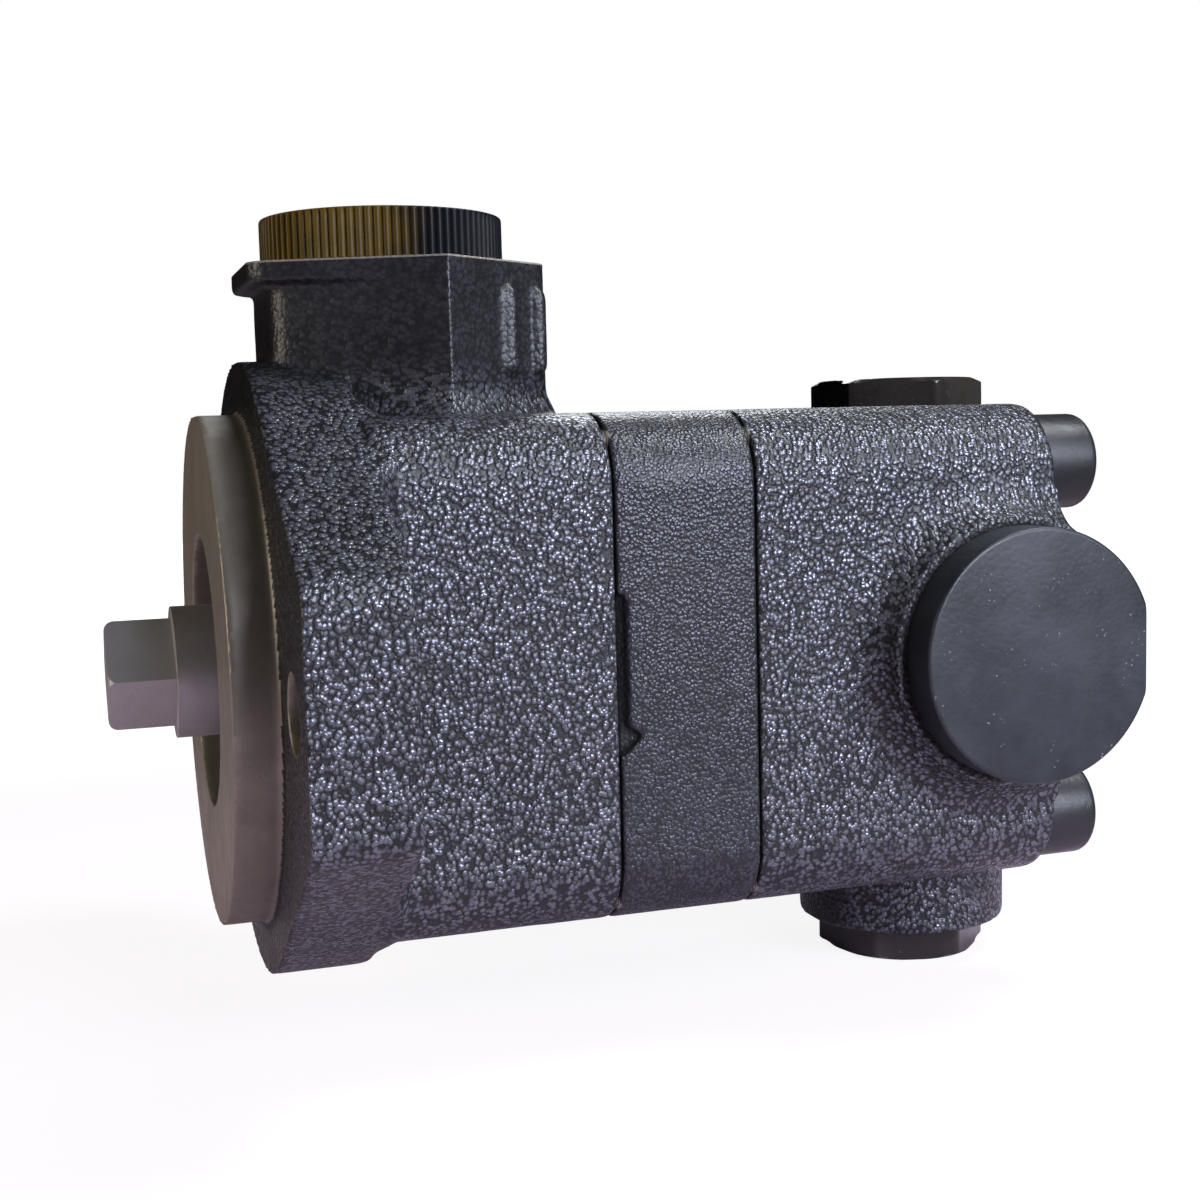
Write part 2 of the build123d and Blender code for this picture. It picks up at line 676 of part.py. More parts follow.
def drive_shaft():
    """Shaft with square drive end, journals and splined rotor seat."""
    tip_x = -shaft_reach
    shoulder_x = tip_x + tang_len
    collar_x = bearing_back_x
    spline_x0 = ring_x
    spline_x1 = cover_x - side_gap
    collar_end = ring_x - 1.5
    seat_x = bearing_front_x - shaft_ring_thick - shaft_seat_lead
    shaft = rod(shoulder_x, seat_x, shaft_front_dia) + rod(seat_x, collar_x + 1, shaft_dia)
    square = Rot(45, 0, 0) * Box(tang_len + 8, tang_across_flats, tang_across_flats)
    square = Pos(tip_x + (tang_len + 8) / 2, 0, 0) * square
    blank = rod(tip_x, shoulder_x + 1, 2 * tang_corner_r)
    rim = blank.edges().filter_by(GeomType.CIRCLE).sort_by(Axis.X)[0]
    shaft += square & fillet(rim, 1.6)
    shaft += rod(collar_x, collar_end, shaft_collar_dia)
    shaft += rod(collar_end - 1, spline_x1, spline_minor_dia - 0.4)
    tooth_r = (spline_major_dia + spline_minor_dia) / 4
    width = math.pi * tooth_r / spline_teeth
    tooth = Box(spline_x1 - spline_x0, width, spline_major_dia - 1)
    half_tooth = tooth & Pos(0, 0, spline_major_dia / 2) * Box(200, 100, spline_major_dia)
    for i in range(spline_teeth):
        wedge = Pos((spline_x0 + spline_x1) / 2, 0, 0) * turned(half_tooth, 360 * i / spline_teeth)
        shaft += wedge & rod(spline_x0 - 1, spline_x1 + 1, spline_major_dia - 0.4)
    end_x = chamber_x - 4.0 + bushing_len
    shaft += rod(spline_x1 - 1, end_x - 1, shaft_journal_dia)
    groove_x = bearing_front_x - shaft_ring_thick - fit_gap
    groove = rod(groove_x - fit_gap, bearing_front_x, shaft_dia + 4)
    groove -= rod(groove_x - 1, bearing_front_x + 1, shaft_dia - 2 * shaft_ring_depth)
    return shaft - groove


def shaft_snap_ring():
    """External snap ring that holds the bearing on the shaft."""
    inner_r = shaft_dia / 2 - shaft_ring_depth
    return split_ring(bearing_front_x - shaft_ring_thick - fit_gap, shaft_ring_thick, inner_r, inner_r + 3.2)


def bearing_race(inner_r, outer_r, groove_r):
    """One race of the ball bearing with its ball track."""
    race = rod(bearing_front_x, bearing_back_x, 2 * outer_r)
    race -= rod(bearing_front_x - 1, bearing_back_x + 1, 2 * inner_r)
    mid_x = bearing_front_x + bearing_width / 2
    return race - ring_about_x(mid_x, groove_r, ball_dia + 4 * fit_gap)


def bearing_pitch_r():
    """Radius of the ball circle."""
    return (bearing_outer_dia + shaft_dia) / 4


def bearing_outer_race():
    """Outer race, seated in the body."""
    return bearing_race(bearing_outer_dia / 2 - bearing_land, bearing_outer_dia / 2, bearing_pitch_r())


def bearing_inner_race():
    """Inner race, seated on the shaft."""
    return bearing_race(shaft_dia / 2, shaft_dia / 2 + bearing_land, bearing_pitch_r())


def ball_places():
    """Ball centres round the bearing."""
    pitch = bearing_pitch_r()
    mid_x = bearing_front_x + bearing_width / 2
    return [Pos(mid_x, *polar(pitch, 360 * i / ball_count)) for i in range(ball_count)]


def bearing_balls():
    """Balls of the bearing."""
    return [place * Sphere(ball_dia / 2 - fit_gap) for place in ball_places()]


def bearing_cage():
    """Cage that spaces the balls."""
    mid_x = bearing_front_x + bearing_width / 2
    pitch = bearing_pitch_r()
    x0 = mid_x - cage_width / 2
    x1 = mid_x + cage_width / 2
    cage = rod(x0, x1, 2 * pitch + cage_thick) - rod(x0 - 1, x1 + 1, 2 * pitch - cage_thick)
    for place in ball_places():
        cage -= place * Sphere(ball_dia / 2 + fit_gap)
    return cage


def rotor():
    """Slotted rotor with splined bore."""
    x0 = ring_x + side_gap
    x1 = cover_x - side_gap
    mid_x = (x0 + x1) / 2
    body = rod(x0, x1, rotor_dia) - rod(x0 - 1, x1 + 1, spline_minor_dia)
    tooth_r = (spline_major_dia + spline_minor_dia) / 4
    width = math.pi * tooth_r / spline_teeth + 4 * fit_gap
    for i in range(spline_teeth):
        gap = Pos(mid_x, 0, spline_major_dia / 4) * Box(ring_len + 2, width, spline_major_dia / 2)
        body -= turned(gap, 360 * i / spline_teeth)
    root_r = cam_min_r - vane_tip_gap - vane_height - fit_gap
    slot_len = rotor_dia / 2 - root_r + 1
    slot_w = vane_thick + 2 * vane_side_gap
    for angle in vane_angles():
        slot = Pos(mid_x, root_r + slot_len / 2, 0) * Box(ring_len + 2, slot_len, slot_w)
        hole = Pos(0, root_r, 0) * rod(x0 - 1, x1 + 1, under_vane_hole_dia)
        body -= turned(slot, angle)
        body -= turned(hole, angle)
    return body


def vane_angles():
    """Angles of the vanes from +Y."""
    return [vane_first_angle + 360 * i / vane_count for i in range(vane_count)]


def vane(angle):
    """One sliding vane, fully drawn in, with its tip rounded off."""
    x0 = ring_x + side_gap
    x1 = cover_x - side_gap
    tip_r = cam_min_r - vane_tip_gap
    blade = Pos((x0 + x1) / 2, tip_r - vane_height / 2, 0) * Box(x1 - x0, vane_height, vane_thick)
    blade = blade & rod(x0, x1, 2 * tip_r)
    return turned(blade, angle)


# ---------------------------------------------------------------- flow-control valve

def spool_bottom():
    """Height of the spool's lower end, drawn down onto the bottom plug's land."""
    return -valve_boss_bottom + plug_thread_len + spool_seat_gap


def flow_spool():
    """Flow-control spool with two lands, spring cup and relief bore."""
    z0 = spool_bottom()
    z1 = z0 + spool_len
    land_dia = valve_bore_dia - 2 * valve_gap
    spool = post(valve_x, z0, z1, spool_waist_dia)
    spool += post(valve_x, z0, z0 + spool_lower_land, land_dia)
    spool += post(valve_x, z1 - spool_upper_land, z1, land_dia)
    spool -= post(valve_x, z1 - spool_cup_depth, z1 + 1, spool_cup_dia)
    spool -= post(valve_x, z0 - 1, relief_seat_z(), relief_bore_dia)
    spool -= post(valve_x, relief_seat_z() - 1, z1, relief_seat_dia)
    return spool


def relief_seat_z():
    """Height of the relief seat inside the spool."""
    return spool_bottom() + spool_len - spool_cup_depth - 3.5


def relief_ball():
    """Ball that rests against the relief seat."""
    seat_r = relief_seat_dia / 2
    drop = math.sqrt((relief_ball_dia / 2) ** 2 - seat_r ** 2)
    return Pos(valve_x, 0, relief_seat_z() - drop - fit_gap) * Sphere(relief_ball_dia / 2)


def relief_screw_top():
    """Height of the relief adjusting screw's inner face."""
    return spool_bottom() + relief_screw_len


def relief_spring():
    """Small coil under the relief ball."""
    low = relief_screw_top() + relief_spring_wire / 2 + 0.05
    high = relief_seat_z() - relief_ball_dia - relief_spring_wire / 2 + 0.3
    mean_r = (relief_bore_dia - relief_spring_wire) / 2 - spring_side_gap
    spring = coil(relief_spring_wire, mean_r, relief_spring_turns, high - low)
    return Pos(valve_x, 0, low) * spring


def relief_screw():
    """Hollow screw that sets the relief spring."""
    z0 = spool_bottom()
    screw = post(valve_x, z0, relief_screw_top(), relief_bore_dia - 2 * fit_gap)
    return screw - post(valve_x, z0 - 1, relief_screw_top() + 1, relief_seat_dia)


def valve_spring():
    """Coil spring between the spool's cup and the top plug."""
    low = spool_bottom() + spool_len - spool_cup_depth + spring_wire / 2 + 0.1
    pocket_top = section_half - plug_head_sink - plug_thread_len + plug_pocket_len
    high = pocket_top - spring_wire / 2 - 0.1
    spring = coil(spring_wire, (spring_outer_dia - spring_wire) / 2, spring_turns, high - low)
    return Pos(valve_x, 0, low) * spring


# ---------------------------------------------------------------- write every piece

def main():
    pieces = {
        "front_body": front_body(),
        "cam_ring": cam_ring(),
        "rear_cover": rear_cover(),
        "cover_screws": cover_screws(),
        "dowel_pins": dowel_pins(),
        "joint_seals": joint_seals(),
        "pressure_plate": pressure_plate(),
        "plate_seal": plate_seal(),
        "plate_spring": plate_spring(),
        "rear_bushing": rear_bushing(),
        "shaft_seal": shaft_seal(),
        "bore_snap_ring": bore_snap_ring(),
        "top_valve_plug": valve_plug(True),
        "bottom_valve_plug": valve_plug(False),
        "valve_plug_seals": valve_plug_seals(),
        "inlet_cap": inlet_cap(),
        "outlet_cap": outlet_cap(),
        "drive_shaft": drive_shaft(),
        "shaft_snap_ring": shaft_snap_ring(),
        "bearing_outer_race": bearing_outer_race(),
        "bearing_inner_race": bearing_inner_race(),
        "bearing_balls": bearing_balls(),
        "bearing_cage": bearing_cage(),
        "rotor": rotor(),
        "flow_spool": flow_spool(),
        "relief_ball": relief_ball(),
        "relief_spring": relief_spring(),
        "relief_screw": relief_screw(),
        "valve_spring": valve_spring(),
    }
    for i, angle in enumerate(vane_angles()):
        pieces[f"vane_{i + 1:02d}"] = vane(angle)
    os.makedirs("parts", exist_ok=True)
    for name, shape in pieces.items():
        if isinstance(shape, list):
            shape = Compound(children=[s for s in shape])
        export_step(shape, f"parts/{name}.step")
        print(name)


main()
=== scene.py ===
import json
import logging
import math
from dataclasses import dataclass
from enum import Enum
from typing import Callable, Sequence

import bmesh
import bpy
import numpy as np
from mathutils import Matrix, Vector


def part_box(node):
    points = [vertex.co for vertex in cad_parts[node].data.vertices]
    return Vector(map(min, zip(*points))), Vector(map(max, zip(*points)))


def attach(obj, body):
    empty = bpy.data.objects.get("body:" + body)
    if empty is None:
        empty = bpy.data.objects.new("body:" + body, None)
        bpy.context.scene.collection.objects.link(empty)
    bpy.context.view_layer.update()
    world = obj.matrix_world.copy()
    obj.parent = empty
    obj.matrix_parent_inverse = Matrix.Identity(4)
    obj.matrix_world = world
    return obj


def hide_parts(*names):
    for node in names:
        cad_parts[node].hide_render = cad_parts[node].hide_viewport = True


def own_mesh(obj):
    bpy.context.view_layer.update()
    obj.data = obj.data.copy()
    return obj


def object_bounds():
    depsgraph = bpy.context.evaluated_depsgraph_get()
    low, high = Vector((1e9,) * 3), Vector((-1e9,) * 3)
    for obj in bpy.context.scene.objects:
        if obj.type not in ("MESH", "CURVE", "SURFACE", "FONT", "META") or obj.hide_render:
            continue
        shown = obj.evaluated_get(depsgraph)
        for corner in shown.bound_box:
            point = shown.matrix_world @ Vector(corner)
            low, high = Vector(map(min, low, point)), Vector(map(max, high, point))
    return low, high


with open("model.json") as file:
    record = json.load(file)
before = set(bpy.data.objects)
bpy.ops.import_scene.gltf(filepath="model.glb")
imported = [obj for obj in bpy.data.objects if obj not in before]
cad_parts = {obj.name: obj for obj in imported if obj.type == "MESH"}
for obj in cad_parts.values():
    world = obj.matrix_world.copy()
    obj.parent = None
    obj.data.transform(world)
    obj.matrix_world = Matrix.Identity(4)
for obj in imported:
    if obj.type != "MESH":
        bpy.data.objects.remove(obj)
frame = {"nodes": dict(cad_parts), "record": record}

CAD_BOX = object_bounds()
LOG = logging.getLogger("vane_pump")
MM = 0.001
TAU = 2 * math.pi
ON_AXIS = 0.01           # millimetres from the axis at which a turned profile starts and ends
UNLIMITED = 99.0         # millimetres, wider than any turned piece
HEX_CORNER = 1 / math.cos(math.pi / 6)

Array = np.ndarray
Object = bpy.types.Object
Triple = tuple[float, float, float]
Span = tuple[float, float]
Socket = bpy.types.NodeSocket
Value = Socket | float | Triple
Feeds = dict[str | int, Value]
Profile = list[tuple[float, float]]
Limit = Callable[[Array, float, float], Array]
Mask = Callable[[Array], Array]
Finishes = dict[str, bpy.types.Material]


# ---- shader building

class Effect(Enum):
    """Surface effects that materials share, each one shader node group."""

    CAST_GRAIN = "cast_grain"
    EDGE_WEAR = "edge_wear"
    TURNING = "turning_marks"
    PATINA = "patina"


class Graph:
    """Thin helper that adds and wires nodes in one node tree."""

    def __init__(self, tree: bpy.types.NodeTree) -> None:
        """Keep the tree that the nodes go into."""
        self.tree = tree

    def feed(self, target: Socket, value: Value) -> None:
        """Link a socket into an input, or set the input's own value.

        Args:
            target: The input.
            value: Output socket, number, vector or colour without alpha.
        """
        if isinstance(value, Socket):
            self.tree.links.new(value, target)
        elif isinstance(value, tuple) and target.type == "RGBA":
            target.default_value = (*value, 1.0)
        else:
            target.default_value = value

    def add(self, kind: str, feeds: Feeds | None = None, **settings: object) -> bpy.types.Node:
        """Add a node.

        Args:
            kind: Node type identifier.
            feeds: What goes into its inputs, by name or number.
            **settings: Attributes set on the node.

        Returns:
            The new node.
        """
        node = self.tree.nodes.new(kind)
        for key, value in settings.items():
            setattr(node, key, value)
        for key, value in (feeds or {}).items():
            self.feed(node.inputs[key], value)
        return node

    def where(self, kind: str = "Object") -> Socket:
        """Return one kind of texture coordinate."""
        return self.add("ShaderNodeTexCoord").outputs[kind]

    def axes(self, kind: str = "Object") -> tuple[Socket, ...]:
        """Return a texture coordinate split into X, Y and Z."""
        return tuple(self.add("ShaderNodeSeparateXYZ", {0: self.where(kind)}).outputs)

    def maths(self, operation: str, first: Value, second: Value, clamp: bool = False) -> Socket:
        """Combine two values, and keep the result within 0 and 1 where it is clamped."""
        feeds = {0: first, 1: second}
        return self.add("ShaderNodeMath", feeds, operation=operation, use_clamp=clamp).outputs[0]

    def product(self, first: Value, *others: Value) -> Socket:
        """Multiply values together.

        Args:
            first: First factor.
            *others: The other factors.

        Returns:
            The product.
        """
        for other in others:
            first = self.maths("MULTIPLY", first, other)
        return first

    def blend(self, factor: Value, first: Value, second: Value) -> Socket:
        """Mix two colours, with the factor as the share of the second."""
        feeds = {0: factor, 6: first, 7: second}
        return self.add("ShaderNodeMix", feeds, data_type="RGBA").outputs[2]

    def noise(self, vector: Socket, scale: Value, detail: float = 2.0, rough: float = 0.5,
              warp: float = 0.0) -> Socket:
        """Add a noise texture, its scale in bumps per metre, and return its value."""
        feeds = {"Vector": vector, "Scale": scale, "Detail": detail, "Roughness": rough, "Distortion": warp}
        return self.add("ShaderNodeTexNoise", feeds).outputs[0]

    def span(self, value: Value, low: float, high: float, to_low: float = 0.0,
             to_high: float = 1.0) -> Socket:
        """Map a value smoothly from one span to another, held at the ends."""
        feeds = {0: value, 1: low, 2: high, 3: to_low, 4: to_high}
        return self.add("ShaderNodeMapRange", feeds, interpolation_type="SMOOTHSTEP").outputs[0]

    def cells(self, vector: Socket, scale: Value) -> Socket:
        """Return the distance to the nearest of many scattered points."""
        return self.add("ShaderNodeTexVoronoi", {"Vector": vector, "Scale": scale}).outputs["Distance"]

    def bump(self, height: Socket, strength: float, distance: float) -> Socket:
        """Turn a height into a normal."""
        feeds = {"Height": height, "Strength": strength, "Distance": distance}
        return self.add("ShaderNodeBump", feeds).outputs[0]

    def effect(self, effect: Effect, **values: Value) -> bpy.types.NodeOutputs:
        """Place a shared effect with its own values, named with underscores for spaces."""
        feeds = {key.replace("_", " "): value for key, value in values.items()}
        return self.add("ShaderNodeGroup", feeds, node_tree=bpy.data.node_groups[effect.value]).outputs


def new_group(effect: Effect, inputs: dict[str, float]) -> tuple[Graph, bpy.types.NodeOutputs]:
    """Start a shader node group.

    Args:
        effect: The effect that it makes.
        inputs: Input names with their default values.

    Returns:
        The group's graph and the values given to it.
    """
    tree = bpy.data.node_groups.new(effect.value, "ShaderNodeTree")
    for key, value in inputs.items():
        socket = tree.interface.new_socket(name=key, in_out="INPUT", socket_type="NodeSocketFloat")
        socket.default_value = value
    graph = Graph(tree)
    return graph, graph.add("NodeGroupInput").outputs


def close_group(graph: Graph, results: dict[str, Socket]) -> None:
    """Give a shader node group its outputs.

    Args:
        graph: The group's graph.
        results: Output names with what feeds them.
    """
    for key in results:
        graph.tree.interface.new_socket(name=key, in_out="OUTPUT", socket_type="NodeSocketFloat")
    graph.add("NodeGroupOutput", results)


@dataclass(frozen=True)
class CastGrain:
    """Pebbled paint over a sand casting: its height, and a mask of its crests, where the cast finish paints
    glints.
    """

    stray: float = 0.00035
    fall: float = 1.8
    fine_scale: float = 2.6
    fine_share: float = 0.25
    uneven_scale: float = 420.0
    shallowest: float = 0.55
    crests: Span = (0.34, 1.05)

    def build(self) -> None:
        """Build the effect's node group."""
        graph, given = new_group(Effect.CAST_GRAIN, {"Grain Size": 0.0011, "Coverage": 1.0})
        place = graph.where()
        scale = graph.maths("DIVIDE", 1.0, given["Grain Size"])
        wander = graph.noise(place, scale, 1.0).node.outputs["Color"]
        strayed = graph.add(
            "ShaderNodeVectorMath", {0: wander, 1: (self.stray,) * 3, 2: place}, operation="MULTIPLY_ADD",
        )
        apart = graph.cells(strayed.outputs[0], scale)
        pebble = graph.maths("SUBTRACT", 1.0, graph.product(apart, apart, self.fall), clamp=True)
        uneven = graph.span(graph.noise(place, self.uneven_scale), 0.25, 0.7, self.shallowest)
        fine = graph.noise(place, graph.product(scale, self.fine_scale), 3.0, 0.6)
        height = graph.maths("ADD", graph.product(pebble, uneven), graph.product(fine, self.fine_share))
        close_group(graph, {
            "Height": graph.product(height, given["Coverage"]),
            "Crest Mask": graph.product(graph.span(height, *self.crests), given["Coverage"]),
        })


@dataclass(frozen=True)
class EdgeWear:
    """Mask of convex edges, broken up by noise: worn edges, and in the cast finish also painted highlights.
    """

    worn_edges: Span = (0.52, 0.62)
    breaks: Span = (0.42, 0.62)
    break_scale: float = 420.0

    def build(self) -> None:
        """Build the effect's node group."""
        graph, given = new_group(Effect.EDGE_WEAR, {"Amount": 0.5})
        edges = graph.span(graph.add("ShaderNodeNewGeometry").outputs["Pointiness"], *self.worn_edges)
        broken = graph.span(graph.noise(graph.where(), self.break_scale, 4.0, 0.7), *self.breaks)
        worn = graph.maths("MULTIPLY", graph.product(edges, broken), given["Amount"], clamp=True)
        close_group(graph, {"Mask": worn})


@dataclass(frozen=True)
class Turning:
    """Lathe marks: fine rings about the shaft's axis and along it."""

    smear_scale: float = 260.0
    smears: Span = (0.2, 0.8)
    faintest: float = 0.5

    def build(self) -> None:
        """Build the effect's node group."""
        graph, given = new_group(Effect.TURNING, {"Pitch": 0.00025})
        along, side, up = graph.axes()
        flat = graph.add("ShaderNodeCombineXYZ", {1: side, 2: up}).outputs[0]
        radius = graph.add("ShaderNodeVectorMath", {0: flat}, operation="LENGTH").outputs["Value"]
        rings = graph.maths("DIVIDE", graph.maths("ADD", radius, along), given["Pitch"])
        marks = graph.noise(graph.add("ShaderNodeCombineXYZ", {0: rings}).outputs[0], 1.0, 3.0, 0.7)
        smear = graph.noise(graph.where(), self.smear_scale, 3.0, 0.6, 0.4)
        streaks = graph.product(marks, graph.span(smear, *self.smears, self.faintest))
        close_group(graph, {"Height": marks, "Streaks": streaks})


@dataclass(frozen=True)
class Patina:
    """Slow colour drift, smudges and fine specks of dust for any surface."""

    dots: Span = (0.24, 0.12)
    dusty_scale: float = 190.0
    dusty: Span = (0.56, 0.64)
    smudge_scale: float = 60.0
    smudges: Span = (0.35, 0.7)
    clouds: Span = (0.3, 0.7)

    def build(self) -> None:
        """Build the effect's node group."""
        graph, given = new_group(Effect.PATINA, {"Cloud Size": 0.02, "Speck Size": 0.0008, "Dustiness": 0.3})
        place = graph.where()
        clouds = graph.noise(place, graph.maths("DIVIDE", 1.0, given["Cloud Size"]), 3.0, 0.55)
        specks = graph.cells(place, graph.maths("DIVIDE", 1.0, given["Speck Size"]))
        dots = graph.span(specks, *self.dots)
        chosen = graph.span(graph.noise(place, self.dusty_scale, 2.0, 0.6), *self.dusty)
        close_group(graph, {
            "Clouds": graph.span(clouds, *self.clouds),
            "Dust": graph.product(dots, chosen, given["Dustiness"]),
            "Smudge": graph.span(graph.noise(place, self.smudge_scale, 4.0, 0.65, 0.6), *self.smudges),
        })


# ---- finishes

def blank_material(name: str) -> tuple[bpy.types.Material, Graph, bpy.types.Node]:
    """Start a node material with one Principled shader.

    Args:
        name: Name of the material.

    Returns:
        The material, its graph and its shader node.
    """
    material = bpy.data.materials.new(name)
    material.use_nodes = True
    return material, Graph(material.node_tree), material.node_tree.nodes["Principled BSDF"]


@dataclass(frozen=True)
class Finish:
    """A finish that makes one material."""

    name: str

    def material(self) -> bpy.types.Material:
        """Build the material.

        Returns:
            The finished material.
        """
        material, graph, shader = blank_material(self.name)
        for key, value in self.look(graph).items():
            graph.feed(shader.inputs[key], value)
        return material

    def look(self, graph: Graph) -> Feeds:
        """Return what goes into the shader, which each kind of finish says for itself."""
        raise NotImplementedError


@dataclass(frozen=True)
class CastFinish(Finish):
    """Textured paint over cast iron, with less grain above a height and fewer painted glints on faces turned
    towards the drive end.
    """

    paint: Triple = (0.008, 0.008, 0.010)
    # Painted glints: light colour laid on the pebble crests, which also turn metallic and reflect the lamps.
    painted_glint_tone: Triple = (0.25, 0.255, 0.30)
    # Lighter edge colour: partly worn bare iron, partly painted highlight on ridges.
    iron: Triple = (0.16, 0.15, 0.15)
    # Painted shade: near-black colour laid in recesses that ambient occlusion finds.
    painted_crevice_shade: Triple = (0.001, 0.001, 0.001)
    drift: float = 1.3
    grain_size: float = 0.00085
    grain_depth: float = 0.00026
    # Share of the painted glints.
    painted_glint_share: float = 0.75
    smooth_above: float = 1.0
    smooth_fade: float = 0.010
    smooth_share: float = 0.30
    # Normals turned towards the drive end, where the painted glints fade.
    front: Span = (-0.95, -0.75)
    front_share: float = 0.1
    # Reach and span of the ambient occlusion that places the painted shade.
    painted_shade_reach: float = 0.004
    painted_shade_span: Span = (0.45, 0.92)
    roughness: float = 0.21
    valley_rise: float = 0.14
    crest_drop: float = 0.03
    hollow_rise: float = 0.5
    smudge_rise: float = 0.08
    # Amount of lighter edges: worn bare iron and painted highlight.
    wear: float = 0.45
    cloud_size: float = 0.03

    def look(self, graph: Graph) -> Feeds:
        """Lay painted glints on the crests of black paint, with painted shade in recesses and lighter edges
        that are partly worn bare metal and partly painted highlight.

        Args:
            graph: Graph of the material.

        Returns:
            What goes into the shader.
        """
        grainy = graph.span(
            graph.axes()[2], self.smooth_above + self.smooth_fade, self.smooth_above, self.smooth_share,
        )
        # Fewer painted glints on faces turned towards the drive end.
        not_front = graph.span(graph.axes("Normal")[0], *self.front, self.front_share)
        grain = graph.effect(Effect.CAST_GRAIN, Grain_Size=self.grain_size, Coverage=grainy)
        wear = graph.effect(Effect.EDGE_WEAR, Amount=self.wear)
        patina = graph.effect(Effect.PATINA, Cloud_Size=self.cloud_size)
        # Painted shade: ambient occlusion darkens recesses and takes the painted glints out of them.
        ao_shade = graph.add("ShaderNodeAmbientOcclusion", {"Distance": self.painted_shade_reach}, samples=8)
        out_of_painted_shade = graph.span(ao_shade.outputs["AO"], *self.painted_shade_span)
        crests = graph.product(grain["Crest Mask"], grainy, not_front, out_of_painted_shade, self.painted_glint_share)
        colour = graph.blend(patina["Clouds"], self.paint, tuple(c * self.drift for c in self.paint))
        # Painted glints: light colour on the crests.
        colour = graph.blend(crests, colour, self.painted_glint_tone)
        # Lighter edges: partly worn bare iron, partly painted highlight.
        colour = graph.blend(wear["Mask"], colour, self.iron)
        rough = graph.span(
            grain["Height"], 0.3, 1.0, self.roughness + self.valley_rise, self.roughness - self.crest_drop,
        )
        rough = graph.maths("ADD", rough, graph.span(out_of_painted_shade, 1.0, 0.0, 0.0, self.hollow_rise))
        smudge = graph.product(patina["Smudge"], self.smudge_rise)
        return {
            # Painted shade in recesses.
            "Base Color": graph.blend(out_of_painted_shade, self.painted_crevice_shade, colour),
            "Metallic": crests,
            "Roughness": graph.maths("ADD", rough, smudge, clamp=True),
            "Normal": graph.bump(grain["Height"], 1.0, self.grain_depth),
        }


@dataclass(frozen=True)
class MetalFinish(Finish):
    """Machined, ground or drawn metal."""

    tone: Triple = (0.45, 0.44, 0.43)
    shade: Triple = (0.30, 0.29, 0.28)
    grime: Triple = (0.05, 0.045, 0.04)
    roughness: float = 0.38
    groove_rise: float = 0.12
    ridge_drop: float = 0.05
    smudge_rise: float = 0.12
    metallic: float = 1.0
    pitch: float = 0.00022
    depth: float = 0.00002
    mark_strength: float = 0.35
    dirt: float = 0.3
    cloud_size: float = 0.012

    def look(self, graph: Graph) -> Feeds:
        """Lay lathe marks and smudges over bare metal.

        Args:
            graph: Graph of the material.

        Returns:
            What goes into the shader.
        """
        turning = graph.effect(Effect.TURNING, Pitch=self.pitch)
        patina = graph.effect(Effect.PATINA, Cloud_Size=self.cloud_size, Dustiness=self.dirt)
        colour = graph.blend(turning["Streaks"], self.shade, self.tone)
        colour = graph.blend(graph.product(patina["Smudge"], self.dirt), colour, self.shade)
        rough = graph.span(
            turning["Streaks"], 0.1, 0.8, self.roughness + self.groove_rise, self.roughness - self.ridge_drop,
        )
        smudge = graph.product(patina["Smudge"], self.smudge_rise)
        return {
            "Base Color": graph.blend(patina["Dust"], colour, self.grime),
            "Metallic": self.metallic,
            "Roughness": graph.maths("ADD", rough, smudge, clamp=True),
            "Normal": graph.bump(turning["Height"], self.mark_strength, self.depth),
        }


@dataclass(frozen=True)
class CoatFinish(Finish):
    """Smooth paint, moulded plastic or rubber."""

    tone: Triple = (0.05, 0.05, 0.055)
    second: Triple = (0.07, 0.07, 0.08)
    bare: Triple = (0.22, 0.21, 0.2)
    dust_tone: Triple = (0.2, 0.21, 0.22)
    roughness: float = 0.42
    smudges: Span = (-0.04, 0.10)
    coat: float = 0.0
    ripple: float = 0.00003
    ripple_size: float = 0.0009
    ripple_strength: float = 0.5
    dust: float = 0.3
    wear: float = 0.2
    cloud_size: float = 0.014

    def look(self, graph: Graph) -> Feeds:
        """Lay a fine ripple, dust and worn edges over a smooth coat.

        Args:
            graph: Graph of the material.

        Returns:
            What goes into the shader.
        """
        patina = graph.effect(Effect.PATINA, Cloud_Size=self.cloud_size, Dustiness=self.dust)
        wear = graph.effect(Effect.EDGE_WEAR, Amount=self.wear)
        grain = graph.effect(Effect.CAST_GRAIN, Grain_Size=self.ripple_size)
        colour = graph.blend(patina["Clouds"], self.tone, self.second)
        colour = graph.blend(wear["Mask"], colour, self.bare)
        low, high = (self.roughness + change for change in self.smudges)
        return {
            "Base Color": graph.blend(patina["Dust"], colour, self.dust_tone),
            "Coat Weight": self.coat,
            "Roughness": graph.span(patina["Smudge"], 0.0, 1.0, low, high),
            "Normal": graph.bump(grain["Height"], self.ripple_strength, self.ripple),
        }


